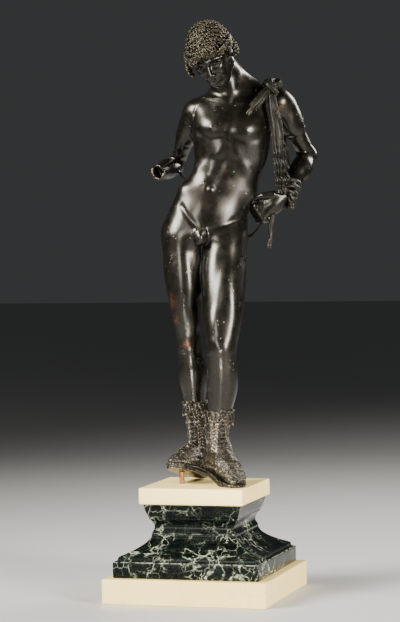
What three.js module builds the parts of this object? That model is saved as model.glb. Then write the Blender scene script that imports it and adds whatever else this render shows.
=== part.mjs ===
import * as THREE from 'three';
import { mergeVertices } from 'three/addons/utils/BufferGeometryUtils.js';

// Sizes in mm. The origin is the middle of the lowest slab's underside, +Z is up, -Y is the front.
const BASE_SIDE = 224;
const BASE_HEIGHT = 33.5;
const TOP_SIDE = 143;
const TOP_HEIGHT = 21.8;
const FIT_GAP = 0.3;
const EDGE_SOFTENING = 1.6;
const GROUND = 150.3;
const FIGURE_TURN = THREE.MathUtils.degToRad(16.4);

// Figure sizes, in its own frame: x to its left hand, -y to its front, z up from the slab.
const FOOT_LENGTH = 93;
const SOLE_THICKNESS = 8;
const LEFT_HEEL_LIFT = 12;
const CURL_RADIUS = 5.2;
const HEAD_SCALE = 0.97;
const STRAND_RADIUS = 2.2;
const MUSCLE = 1.15;
const CELL = 2.3;
const FIGURE_TRIANGLES = 9100;

const { min, max, abs, sqrt, exp, hypot, cos, sin, PI, floor, round } = Math;
const clamp = THREE.MathUtils.clamp;
const mix = THREE.MathUtils.lerp;

// Small vector helpers
const add = (a, b) => [a[0] + b[0], a[1] + b[1], a[2] + b[2]];
const sub = (a, b) => [a[0] - b[0], a[1] - b[1], a[2] - b[2]];
const times = (a, k) => [a[0] * k, a[1] * k, a[2] * k];
const dot = (a, b) => a[0] * b[0] + a[1] * b[1] + a[2] * b[2];
const cross = (a, b) => [
  a[1] * b[2] - a[2] * b[1],
  a[2] * b[0] - a[0] * b[2],
  a[0] * b[1] - a[1] * b[0],
];
const unit = (a) => times(a, 1 / hypot(...a));
const between = (a, b, t) => add(times(a, 1 - t), times(b, t));

// A frame has an origin and three axes: side (the figure's left), forward and up.
// Yaw turns it to the figure's right, pitch bends it forward, roll leans its top to the figure's right.
function makeFrame(origin, yaw, pitch, roll) {
  const [y, p, r] = [yaw, pitch, roll].map(THREE.MathUtils.degToRad);
  const forward = [-sin(y) * cos(p), -cos(y) * cos(p), -sin(p)];
  const straightUp = unit(sub([0, 0, 1], times(forward, -sin(p))));
  const side = cross(straightUp, forward);
  const up = add(times(straightUp, cos(r)), times(side, -sin(r)));
  return { origin, side: cross(up, forward), forward, up };
}

const inFrame = (frame, p) => {
  const d = sub(p, frame.origin);
  return [dot(d, frame.side), dot(d, frame.forward), dot(d, frame.up)];
};

const outOf = (frame, p) => add(frame.origin, add(times(frame.side, p[0]),
  add(times(frame.forward, p[1]), times(frame.up, p[2]))));

// Distance fields: negative inside the metal
const smoothMin = (a, b, k) => {
  const h = max(k - abs(a - b), 0) / k;
  return min(a, b) - (h * h * k) / 4;
};

const smoothMax = (a, b, k) => -smoothMin(-a, -b, k);

// A straight limb piece: radius ra at a, rb at b, round ends.
function rod(a, b, ra, rb) {
  const ab = sub(b, a);
  const scale = 1 / dot(ab, ab);
  return (p) => {
    const t = clamp(dot(sub(p, a), ab) * scale, 0, 1);
    const dx = p[0] - a[0] - ab[0] * t;
    const dy = p[1] - a[1] - ab[1] * t;
    const dz = p[2] - a[2] - ab[2] * t;
    return sqrt(dx * dx + dy * dy + dz * dz) - mix(ra, rb, t);
  };
}

// Rods end to end through a list of points, the radius running from first to last.
function cord(points, radii) {
  const rods = [];
  const n = points.length - 1;
  for (let i = 0; i < n; i += 1) {
    const r0 = radii.length > 2 ? radii[i] : mix(radii[0], radii[1], i / n);
    const r1 = radii.length > 2 ? radii[i + 1] : mix(radii[0], radii[1], (i + 1) / n);
    rods.push(rod(points[i], points[i + 1], r0, r1));
  }
  return (p) => {
    let d = 1e3;
    for (const r of rods) d = min(d, r(p));
    return d;
  };
}

function egg(c, r) {
  return (p) => {
    const x = (p[0] - c[0]) / r[0];
    const y = (p[1] - c[1]) / r[1];
    const z = (p[2] - c[2]) / r[2];
    const k0 = sqrt(x * x + y * y + z * z);
    const k1 = sqrt((x / r[0]) ** 2 + (y / r[1]) ** 2 + (z / r[2]) ** 2);
    return k1 < 1e-6 ? -min(...r) : (k0 * (k0 - 1)) / k1;
  };
}

// An upright column through named heights: [height, centre x, centre y, half width, half depth].
function column(stations, power, topRound, bottomRound) {
  const low = stations[0][0];
  const high = stations[stations.length - 1][0];
  const table = [];
  const slope = (i, k) => {
    const a = stations[max(i - 1, 0)];
    const b = stations[min(i + 1, stations.length - 1)];
    return (b[k] - a[k]) / (b[0] - a[0]);
  };
  let s = 0;
  for (let z = low; z <= high + 1; z += 1) {
    while (s < stations.length - 2 && z > stations[s + 1][0]) s += 1;
    const a = stations[s];
    const b = stations[s + 1];
    const w = b[0] - a[0];
    const t = clamp((z - a[0]) / w, 0, 1);
    table.push([1, 2, 3, 4].map((k) => a[k] * (1 + 2 * t) * (1 - t) ** 2 + b[k] * t * t * (3 - 2 * t)
      + slope(s, k) * w * t * (1 - t) ** 2 - slope(s + 1, k) * w * t * t * (1 - t)));
  }
  return (p) => {
    const z = clamp(p[2], low, high) - low;
    const i = min(floor(z), table.length - 2);
    const [cx, cy, a, b] = table[i].map((v, k) => mix(v, table[i + 1][k], z - i));
    const g = (abs((p[0] - cx) / a) ** power + abs((p[1] - cy) / b) ** power) ** (1 / power);
    const wall = (g - 1) * min(a, b);
    return smoothMax(smoothMax(wall, p[2] - high, topRound), low - p[2], bottomRound);
  };
}

// Relief laid on a surface: a soft swelling (or hollow) of the given height at c.
function swell(c, r, height) {
  return (p) => {
    const q = ((p[0] - c[0]) / r[0]) ** 2 + ((p[1] - c[1]) / r[1]) ** 2 + ((p[2] - c[2]) / r[2]) ** 2;
    return q > 6 ? 0 : height * exp(-q);
  };
}

// Relief along a line of points: a ridge, or a groove where the height is negative.
function ridge(points, width, height) {
  const line = cord(points, [0, 0]);
  return (p) => {
    const q = (line(p) / width) ** 2;
    return q > 6 ? 0 : height * exp(-q);
  };
}

const both = (make) => [make(1), make(-1)].flat();
const total = (list, p) => list.reduce((sum, f) => sum + f(p), 0);

// Where the body stands
const CHEST = makeFrame([44, 39, 470], 7, 0, -7);
const HEAD = makeFrame([17, 4, 578], 13, 35, 18);
const RIGHT_FOOT = makeFrame([-4.5, 61, 0], 23.5, -14, 0);
const LEFT_FOOT = makeFrame([9, 19, LEFT_HEEL_LIFT], -24.5, 10.5, 0);

const RIGHT_SHOULDER = [-3, 47, 502];
const RIGHT_ELBOW = [-33, 96, 431];
const RIGHT_STUMP = [-58, 54, 421];
const LEFT_SHOULDER = [109, 46, 515];
const LEFT_ELBOW = [149, 88, 442];
const LEFT_WRIST = [119, 34, 389];
const NECK_ROOT = [46, 45, 520];
const NECK_TOP = [28, 29, 566];

// Torso
const torsoColumn = column([
  [318, 4, 41, 50, 32],
  [336, 5, 42, 56, 38],
  [355, 8, 41, 56, 37],
  [375, 14, 39, 54, 33],
  [395, 23, 37, 51, 30],
  [415, 34, 37, 48, 29],
  [435, 42, 38, 48, 31],
  [455, 44, 39, 51, 35],
  [475, 44, 40, 53, 36],
  [495, 46, 42, 56, 32],
  [513, 47, 44, 56, 25],
  [528, 47, 46, 36, 17],
], 2.3, 16, 24);

const chestRelief = [
  ...both((s) => swell([s * 23, 35, 11], [22, 26, 18], 4.6)),
  ...both((s) => ridge([[s * 8, 36, -5], [s * 24, 38, -9], [s * 42, 28, 0]], 5.5, -1)),
  ...both((s) => ridge([[s * 5, 22, 45], [s * 24, 20, 46], [s * 50, 10, 50]], 4.6, 1.4)),
  swell([0, 22, 45], [6, 9, 7], -2.2),
  ridge([[0, 36, 34], [0, 38, -14]], 6, -0.9),
  ...both((s) => ridge([[s * 4, 36, -18], [s * 17, 35, -32], [s * 36, 24, -50]], 7.5, 0.8)),
  ...both((s) => swell([s * 44, 10, -22], [8, 26, 26], 1.2)),
  ...both((s) => swell([s * 24, 39, 7], [2.2, 4, 2.2], 0.7)),
  ...both((s) => swell([s * 26, -34, 14], [17, 14, 22], 4)),
  ...both((s) => ridge([[s * 13, -38, 30], [s * 17, -38, -10]], 5, -1.6)),
  ridge([[0, -32, 44], [0, -38, 0], [0, -31, -42]], 6, -3.6),
  ...both((s) => swell([s * 15, -30, -48], [11, 16, 40], 2.6)),
];

const NAVEL = [14, 7, 397];
const bellyRelief = [
  swell(NAVEL, [3.4, 8, 3.4], -2.4),
  ridge([[39, 2, 448], [27, 5, 425], [14, 7, 402]], 6, -0.7),
  ridge([[14, 7, 394], [6, 6, 362]], 5, -0.5),
  swell([9, 8, 372], [22, 16, 18], 3),
  ...[0, 1, 2].flatMap((row) => both((s) => swell(
    [mix(36, 20, row / 2) + s * 12, 5, 444 - 19 * row], [11, 16, 9], 1.1))),
  ...[0, 1].map((row) => ridge(
    [[14 - 7 * row, 6, 436 - 19 * row], [50 - 9 * row, 6, 433 - 19 * row]], 3.4, -0.4)),
  ridge([[-26, 14, 374], [-17, 8, 360], [-3, 5, 342]], 4, -1.1),
  ridge([[8, 5, 341], [36, 7, 349], [56, 14, 359]], 4, -1),
  swell([-27, 22, 402], [15, 24, 14], 3),
  swell([73, 32, 388], [13, 24, 13], 3.2),
  swell([1, 4, 338], [12, 14, 9], 3),
  ridge([[38, 68, 412], [28, 69, 396], [17, 74, 380]], 6, -2.8),
  ridge([[7, 78, 372], [2, 82, 330], [3, 76, 306]], 5, -4.2),
];

const pelvisMass = [
  egg([-20, 61, 335], [30, 23.5, 31]),
  egg([34, 57, 326], [29, 23.5, 31]),
];

function torso(p) {
  let d = torsoColumn(p);
  for (const cheek of pelvisMass) d = smoothMin(d, cheek(p), 14);
  if (d > 16 || d < -16) return d;
  return d - MUSCLE * (total(chestRelief, inFrame(CHEST, p)) + total(bellyRelief, p));
}

// Neck, collar muscles
const neckParts = [
  [rod(NECK_ROOT, NECK_TOP, 21, 19), 14],
  [rod([39, 45, 559], [71, 54, 533], 16.5, 12.5), 14],
  [rod([62, 56, 530], [104, 52, 523], 13, 10), 20],
  [rod([34, 56, 522], [2, 52, 509], 12, 9), 18],
  [rod([36, 56, 535], [28, 38, 561], 14, 12.5), 12],
];
const neckRelief = [
  ridge([[54, 30, 557], [42, 12, 521]], 7, 1.2),
  ridge([[10, 22, 556], [32, 14, 520]], 7, 1.2),
];

// Legs, from hip to the inside of the boot
const rightLegColumn = column([
  [40, -8, 44, 11, 13.5],
  [60, -10, 44, 10.8, 13],
  [80, -11, 44, 11.8, 14],
  [100, -12, 44, 13.6, 16.4],
  [118, -12.5, 44, 16, 19.5],
  [135, -13, 43, 18.8, 22],
  [150, -13.5, 41, 19.6, 22],
  [163, -14.5, 38.5, 18.4, 20],
  [178, -16.5, 36.5, 17.6, 19.6],
  [195, -18.5, 36, 17.2, 20.5],
  [214, -20.5, 36, 17.8, 23],
  [230, -21.5, 36, 20, 25.5],
  [247, -22.5, 36.5, 23, 28],
  [262, -22.5, 37, 25.8, 30],
  [285, -23.5, 38, 28, 31.5],
  [310, -24, 39, 28.6, 32],
  [330, -24, 40, 28, 32],
  [352, -22, 41, 26, 28],
], 2.15, 20, 6);

const leftLegColumn = column([
  [44, 18.5, 3, 11.2, 13.5],
  [67, 19.5, 2.5, 12.6, 14],
  [90, 21.5, 1.5, 15, 15.6],
  [104, 23, 0, 17, 17.6],
  [120, 25, -2, 19.6, 20.5],
  [136, 26, -5, 21, 22],
  [150, 26, -9, 20.8, 21.6],
  [165, 25.4, -13.5, 20.2, 20],
  [180, 25, -15.5, 20.3, 21],
  [200, 26, -12, 22.6, 23.5],
  [222, 27.5, -5, 25.8, 27],
  [247, 29, 4, 28.4, 30],
  [262, 29.5, 10, 29.8, 32],
  [285, 30, 18, 31, 33],
  [305, 31, 25, 30.6, 33],
  [325, 33, 30, 29, 32],
  [346, 34, 34, 26, 28],
], 2.15, 20, 6);

// Muscles of one leg: knee and ankle centres, side is +1 for the left leg.
function legRelief(hip, knee, ankle, side) {
  const front = (a, b, t, x, y) => add(between(a, b, t), [x * side, y, 0]);
  return [
    swell(front(hip, knee, 0.45, 4, -30), [16, 16, 44], 3),
    swell(front(hip, knee, 0.78, -11, -18), [10, 14, 17], 3.2),
    swell(front(hip, knee, 0.72, 13, -14), [8, 14, 26], 2.2),
    ridge([front(hip, knee, 0.2, -6, -32), front(hip, knee, 0.6, -15, -20)], 8, -1),
    swell(add(knee, [0, -19, 3]), [9.5, 9, 10], 2.4),
    swell(add(knee, [-9 * side, -17, 12]), [7, 9, 7], 1.2),
    ridge([add(knee, [-11 * side, -14, -7]), add(knee, [11 * side, -14, -7])], 5, -0.5),
    swell(add(knee, [0, -18, -16]), [7, 8, 8], 1),
    ridge([front(knee, ankle, 0.2, 1, -20), front(knee, ankle, 0.75, 1, -15)], 6, 1),
    swell(front(knee, ankle, 0.27, -10, 14), [10, 13, 22], 3.4),
    swell(front(knee, ankle, 0.24, 10, 14), [9, 13, 20], 2.6),
    ridge([front(knee, ankle, 0.15, 0, 24), front(knee, ankle, 0.42, 0, 22)], 4, -1.4),
    ridge([add(knee, [0, 20, 12]), add(knee, [0, 20, -8])], 8, -2.4),
  ];
}

const RIGHT_HIP = [-22, 40, 345];
const RIGHT_KNEE = [-17, 37, 180];
const RIGHT_ANKLE = [-8, 44, 42];
const LEFT_HIP = [36, 32, 335];
const LEFT_KNEE = [25, -15, 181];
const LEFT_ANKLE = [18.5, 2, 48];
const rightRelief = legRelief(RIGHT_HIP, RIGHT_KNEE, RIGHT_ANKLE, -1);
const leftRelief = legRelief(LEFT_HIP, LEFT_KNEE, LEFT_ANKLE, 1);

function leg(shape, relief) {
  return (p) => {
    const d = shape(p);
    return d > 14 || d < -14 ? d : d - total(relief, p);
  };
}

// Booted feet, in the foot's own frame: side, forward from the heel, up from the ground
function foot(frame, lift) {
  const ball = FOOT_LENGTH * 0.69;
  const tip = FOOT_LENGTH - 14.5;
  const outline = [
    rod([0, 13, 0], [-1, ball, 0], 13, 18),
    rod([-1, ball, 0], [-2.5, tip, 0], 18, 14.5),
  ];
  const sole = (q) => {
    const flat = [q[0], q[1], 0];
    const edge = smoothMin(outline[0](flat), outline[1](flat), 4);
    return smoothMax(smoothMax(edge, q[2] - SOLE_THICKNESS, 2), -q[2], 2);
  };
  const upper = [
    [rod([0, 14, 18], [0, 20, 42], 12.5, 12.5), 8],
    [rod([0, 22, 36], [0, 52, 25], 13.5, 12.5), 10],
    [rod([-3, 48, 20], [-4, 77, 14], 13, 8.5), 8],
    [rod([6, 46, 17], [7, 71, 13], 12, 8.5), 8],
  ];
  const toes = [-9, -3, 3, 8.5].map((x, i) => rod(
    [x, 76, 12.5], [x * 0.9, 86 - 1.6 * i, 11], 5, 4.4 - 0.3 * i));
  const bands = [0, 1, 2, 3].map((i) => {
    const [low, high, top] = [50 + 8 * i, 44 + 9 * i, 36 - 5 * i];
    return ridge([[-19, low, 8], [-8, high, top], [8, high, top], [19, low, 8]], 2.2, 1);
  });
  return (p) => {
    const q = inFrame(frame, p);
    let d = 1e3;
    for (const [shape, k] of upper) d = smoothMin(d, shape(q), k);
    for (const toe of toes) d = smoothMin(d, toe(q), 2.5);
    if (abs(d) < 8) d -= total(bands, q);
    d = smoothMax(d, -q[2], 1);
    d = smoothMin(d, sole(q), 1.2);
    return max(d, -p[2] + lift);
  };
}

// High laced boots over the shins
function boot(knee, ankle, top, radius, frontTurn) {
  const around = (angle, height, r) => {
    const t = (knee[2] - height) / (knee[2] - ankle[2]);
    const c = between(knee, ankle, t);
    return [c[0] + r * sin(angle + frontTurn), c[1] - r * cos(angle + frontTurn), height];
  };
  const ring = (height, r, wave, lobes) => {
    const points = [];
    for (let i = 0; i <= 24; i += 1) {
      const a = (i / 24) * 2 * PI;
      points.push(around(a, height + wave * cos(lobes * a), r));
    }
    return points;
  };
  const parts = [
    cord(ring(top, radius, 1.6, 5), [2.4, 2.4]),
    cord(ring(top - 7, radius - 0.6, 1, 5), [1.6, 1.6]),
  ];
  for (const a of [-1.9, -0.75, 0.75, 1.9]) {
    parts.push(cord([
      around(a, top - 2, radius - 1),
      around(a, top - 9, radius + 0.4),
      around(a * 1.04, top - 16, radius - 0.6),
      around(a * 1.06, top - 20, radius + 1.6),
    ], [3, 3.4, 2.4, 1.4]));
  }
  const laceRows = 4;
  for (let i = 0; i < laceRows; i += 1) {
    const z0 = top - 12 - (i * (top - 46)) / laceRows;
    const z1 = z0 - (top - 46) / laceRows;
    const shrink = 1 - 0.045 * i;
    for (const s of [-1, 1]) {
      const r = radius * shrink;
      parts.push(cord([around(s * 0.55, z0, r), around(-s * 0.55, z1, r)], [1.9, 1.9]));
    }
  }
  return parts;
}

// Arms
const rightArmParts = [
  [rod(RIGHT_SHOULDER, between(RIGHT_SHOULDER, RIGHT_ELBOW, 0.4), 15.5, 13), 1],
  [rod(between(RIGHT_SHOULDER, RIGHT_ELBOW, 0.3), RIGHT_ELBOW, 12.8, 10.5), 10],
  [rod(RIGHT_ELBOW, between(RIGHT_ELBOW, RIGHT_STUMP, 0.45), 11, 12.6), 8],
  [rod(between(RIGHT_ELBOW, RIGHT_STUMP, 0.4), RIGHT_STUMP, 12.6, 11), 8],
  [rod([-8, 51, 496], [-22, 70, 462], 15, 9), 10],
];
const rightArmRelief = [
  ridge([add(RIGHT_ELBOW, [14, -16, 3]), add(RIGHT_ELBOW, [-12, -16, 10])], 4, -2.2),
  swell(add(RIGHT_ELBOW, [0, 12, -4]), [7, 7, 7], 1.6),
];

// The forearm is broken off: the end is open, with an uneven rim round a round hollow.
const stumpAxis = unit(sub(RIGHT_STUMP, RIGHT_ELBOW));
const stumpSide = unit(cross(stumpAxis, [0, 0, 1]));
const stumpUp = cross(stumpSide, stumpAxis);
const STUMP_BORE = 7.6;
const STUMP_DEPTH = 15;

function stumpCut(p) {
  const q = sub(p, RIGHT_STUMP);
  const along = dot(q, stumpAxis);
  const angle = Math.atan2(dot(q, stumpUp), dot(q, stumpSide));
  const rim = along - 0.9 * cos(3 * angle + 0.7) - 0.5 * cos(5 * angle);
  const radial = hypot(dot(q, stumpSide), dot(q, stumpUp)) - STUMP_BORE;
  const bore = max(radial, -(along + STUMP_DEPTH));
  return p[1] > 88 ? 1e3 : min(-rim, bore);
}

const leftArmParts = [
  [rod(LEFT_SHOULDER, between(LEFT_SHOULDER, LEFT_ELBOW, 0.4), 17, 15), 1],
  [rod(between(LEFT_SHOULDER, LEFT_ELBOW, 0.3), LEFT_ELBOW, 14.5, 11.5), 10],
  [rod([116, 53, 508], [126, 64, 484], 16, 13), 12],
  [rod(LEFT_ELBOW, between(LEFT_ELBOW, LEFT_WRIST, 0.4), 11.5, 12.6), 8],
  [rod(between(LEFT_ELBOW, LEFT_WRIST, 0.3), LEFT_WRIST, 12.6, 8.6), 10],
];
const leftArmRelief = [
  ridge([add(LEFT_ELBOW, [-16, -12, 4]), add(LEFT_ELBOW, [10, -14, 6])], 4, -1.8),
  swell(add(LEFT_ELBOW, [5, 9, -2]), [7, 7, 7], 2),
  swell([124, 48, 480], [11, 14, 16], 2.4),
];

function blend(parts, relief) {
  return (p) => {
    let d = 1e3;
    for (const [shape, k] of parts) d = smoothMin(d, shape(p), k);
    return d > 12 || d < -12 ? d : d - total(relief, p);
  };
}

// The left hand rests on the hip, its back to the front and the fingers folded behind.
const KNUCKLES = [80, 27, 364];
const handParts = [
  [rod(LEFT_WRIST, between(LEFT_WRIST, KNUCKLES, 0.5), 8.6, 9), 1],
  [egg(add(between(LEFT_WRIST, KNUCKLES, 0.6), [-1, 3, 1]), [18, 8.5, 15]), 8],
  ...[-1.5, -0.5, 0.5, 1.5].map((f) => [rod(
    add(between(LEFT_WRIST, KNUCKLES, 0.4), [f * 1.6, 0, f * 3.6]),
    add(KNUCKLES, [f * 3.4, -f * 0.6 + 1, -f * 5.4]), 6, 5), 5]),
];
const fingers = [-1.5, -0.5, 0.5, 1.5].map((f) => cord([
  add(KNUCKLES, [f * 3.4, 1, -f * 5.4]),
  add(KNUCKLES, [f * 3.3 - 6, 8, -f * 5.3 - 2]),
  add(KNUCKLES, [f * 3 - 3, 19, -f * 5 - 3]),
  add(KNUCKLES, [f * 3 + 6, 25, -f * 4.6 - 3]),
], [5.1, 4.9, 4.4, 4.2]));
const thumb = cord([[113, 31, 386], [99, 25, 388], [85, 25, 386.5], [74, 30, 383.5]], [6, 5.6, 4.8, 4]);

// Head, in its own frame: side, forward, up from the middle of the skull
const skullParts = [
  [egg([0, -5, 7], [28.5, 36, 33]), 1],
  [egg([0, 10, -8], [22.5, 24, 30]), 10],
  [egg([0, 20, -25], [12.5, 11.5, 10]), 8],
  [egg([0, 19.5, -36.5], [8.5, 9.5, 6.5]), 7],
  ...both((s) => [[rod([s * 19, 1, -19], [s * 9, 15, -34], 8, 7), 8]]),
];
const faceRelief = [
  ...both((s) => swell([s * 11.5, 33, -2], [7.4, 9, 5], -5)),
  ...both((s) => ridge([[s * 4, 35, 3.4], [s * 12, 33, 6], [s * 21, 25, 2]], 2.6, 2)),
  ...both((s) => swell([s * 15.5, 27, -14], [8, 9, 7], 1.8)),
  ...both((s) => ridge([[s * 7.5, 32, -15], [s * 11, 28, -24]], 3, -0.8)),
  swell([0, 33, -31.5], [8, 7, 2], -1.5),
  swell([0, 33, -20.5], [1.3, 6, 2.6], -0.8),
];
const nose = cord([[0, 31, 4], [0, 35, -5], [0, 38.6, -13.6]], [3.2, 2.9, 3.6]);
const wings = both((s) => [egg([s * 4.1, 34.8, -15.2], [2.8, 4.2, 2.8])]);
const lips = [
  cord([[-7.4, 30, -25.5], [-2.3, 32.6, -23.7], [0, 32.5, -24.4], [2.3, 32.6, -23.7], [7.4, 30, -25.5]],
    [0.8, 1.7, 1.7, 1.7, 0.8]),
  cord([[-6.4, 30, -26.6], [0, 32.4, -28.1], [6.4, 30, -26.6]], [0.9, 2.3, 0.9]),
];
const eyes = both((s) => [
  [egg([s * 11.5, 25.4, -3.8], [6.8, 4.9, 3.7]), 0.6],
  [cord([[s * 5.2, 28.8, -4.4], [s * 8, 30.4, -2.4], [s * 11.8, 31, -1.5], [s * 15.6, 29, -2.4],
    [s * 18.4, 25.8, -4.8]], [0.6, 1, 1.15, 1.05, 0.7]), 1.2],
  [cord([[s * 5.8, 28.6, -5], [s * 9, 29.6, -6.8], [s * 12.2, 29.8, -7.3], [s * 15.4, 28, -6.7],
    [s * 17.8, 25.6, -5.2]], [0.5, 0.7, 0.8, 0.7, 0.5]), 1.1],
]);
const ears = both((s) => [
  [egg([s * 26.6, -5.5, -5], [2.4, 6.5, 9.5]), 1.5],
  [cord([[s * 27.5, 0.5, -5], [s * 29, -2, 3.6], [s * 30.4, -8, 5], [s * 30.2, -11.8, -1],
    [s * 28.8, -9.5, -9], [s * 27.6, -4.5, -14.5]], [1.2, 1.5, 1.7, 1.7, 1.5, 1.9]), 1],
  [egg([s * 27.6, 0.8, -8], [1.5, 1.5, 2.6]), 1],
]);
const faceCuts = [
  cord([[-7.6, 31.2, -26], [-2.4, 34.2, -25.6], [0, 34.3, -26], [2.4, 34.2, -25.6], [7.6, 31.2, -26]],
    [0.5, 0.5]),
  ...both((s) => [egg([s * 2.3, 37, -18.3], [1.2, 2.2, 1.5])]),
];

function skull(q) {
  let d = 1e3;
  for (const [shape, k] of skullParts) d = smoothMin(d, shape(q), k);
  if (abs(d) < 10) d -= total(faceRelief, q);
  d = smoothMin(d, nose(q), 4);
  for (const wing of wings) d = smoothMin(d, wing(q), 2.2);
  for (const lip of lips) d = smoothMin(d, lip(q), 1.4);
  for (const [shape, k] of [...eyes, ...ears]) d = smoothMin(d, shape(q), k);
  for (const cut of faceCuts) d = smoothMax(d, -cut(q), 0.7);
  return d;
}

// Short curls in rings round the crown, each a tight little coil lying on the skull.
function hair() {
  const locks = [];
  const capRadii = [30, 38, 35.5];
  const place = (polar, turn, out) => {
    const dir = [sin(polar) * sin(turn), sin(polar) * cos(turn), cos(polar)];
    return [dir[0] * (capRadii[0] + out), dir[1] * (capRadii[1] + out) - 6, dir[2] * (capRadii[2] + out) + 7];
  };
  const rings = 7;
  for (let ring = 0; ring < rings; ring += 1) {
    const polar = 0.14 + ring * 0.3;
    const count = max(4, round(18 * sin(polar)));
    for (let i = 0; i < count; i += 1) {
      const turn = ((i + 0.5 * (ring % 2)) / count) * 2 * PI;
      const opening = polar > 1.12 && cos(turn) > 0.45;
      if (opening) continue;
      const at = place(polar, turn, 0);
      const swing = turn * 3 + ring;
      const tip = add(at, [2.6 * sin(swing), 1.6 * cos(swing), 2.6 * cos(swing + 1)]);
      locks.push(rod(at, tip, CURL_RADIUS * (0.86 + 0.14 * sin(i * 2.4 + ring)), 3.4));
    }
  }
  return locks;
}

// A wreath of leaves and berries: it runs round the head and thickens over each ear.
function wreath() {
  const line = (turn, out) => [
    (32.5 + out) * sin(turn),
    (37.5 + out) * cos(turn) - 3 + 3.5 * min(cos(turn), 0),
    15.5 - 5 * abs(turn) + 1.5 * cos(4 * turn),
  ];
  const band = [];
  for (let i = 0; i <= 28; i += 1) band.push(line(-PI + (2 * PI * i) / 28, 0));
  const parts = [cord(band, [3.6, 3.6])];
  for (const s of [-1, 1]) {
    const bunch = s > 0 ? [32.5, -6, -5] : [33, 12, -7];
    for (let i = 0; i < 9; i += 1) {
      const angle = i * 2.4;
      const r = 2.6 * sqrt(i);
      const out = bunch[0] + 3 - 0.6 * i;
      const berry = [s * out, bunch[1] + r * cos(angle), bunch[2] + 1.2 * r * sin(angle)];
      parts.push(egg(berry, [4.4, 4, 4]));
    }
  }
  for (let i = 0; i < 9; i += 1) {
    const turn = -1.4 + 0.35 * i;
    parts.push(egg(add(line(turn, 1.4), [0, 0, i % 2 ? 2.6 : -2.6]), [3.6, 3.4, 3.4]));
  }
  return parts;
}

const skullCap = egg([0, -7, 8], [29.5, 36.5, 33.5]);
const faceOpening = egg([0, 38, -14], [21, 26, 27]);
const hairLocks = hair();
const wreathParts = wreath();

function head(p) {
  const q = times(inFrame(HEAD, p), 1 / HEAD_SCALE);
  const reach = hypot(...q);
  if (reach > 62) return reach - 50;
  let d = skull(q);
  let locks = smoothMax(skullCap(q), -faceOpening(q), 4);
  for (const lock of hairLocks) locks = smoothMin(locks, lock(q), 2.4);
  for (const part of wreathParts) locks = smoothMin(locks, part(q), 1.4);
  return HEAD_SCALE * smoothMin(d, locks, 1.2);
}

// The animal skin's two lengths, from the shoulder to the wrist: [x, y, z, half width].
const HIDE_FRONT = [
  [96.5, 15, 532, 4.4], [98, 14, 510, 6.2], [104, 13, 479, 7.4], [106.6, 14, 445, 7.6],
  [108.4, 17, 412, 6.2], [110, 20, 390, 5.6],
];
const HIDE_BACK = [
  [99, 17, 520, 7], [98, 16, 532, 7.2], [98, 27, 538.5, 7.6], [98, 46, 539, 9.2], [100, 62, 532.5, 9.5],
  [103, 72, 513, 9], [108, 75, 480, 8], [116, 69, 440, 7], [120, 57, 408, 5.5], [120, 42, 393, 4.5],
];

// Folds side by side along a length of hide, each a cord that wanders a little.
function folds(line, offsets, radius, lift) {
  return offsets.map((f) => cord(line.map(([x, y, z, w], k) => [
    x + f * (w - radius) + 0.5 * sin(2.1 * k + 4 * f),
    y - lift * (1 - abs(f)) + 0.4 * cos(1.7 * k + 5 * f),
    z,
  ]), [radius, radius]));
}

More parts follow.
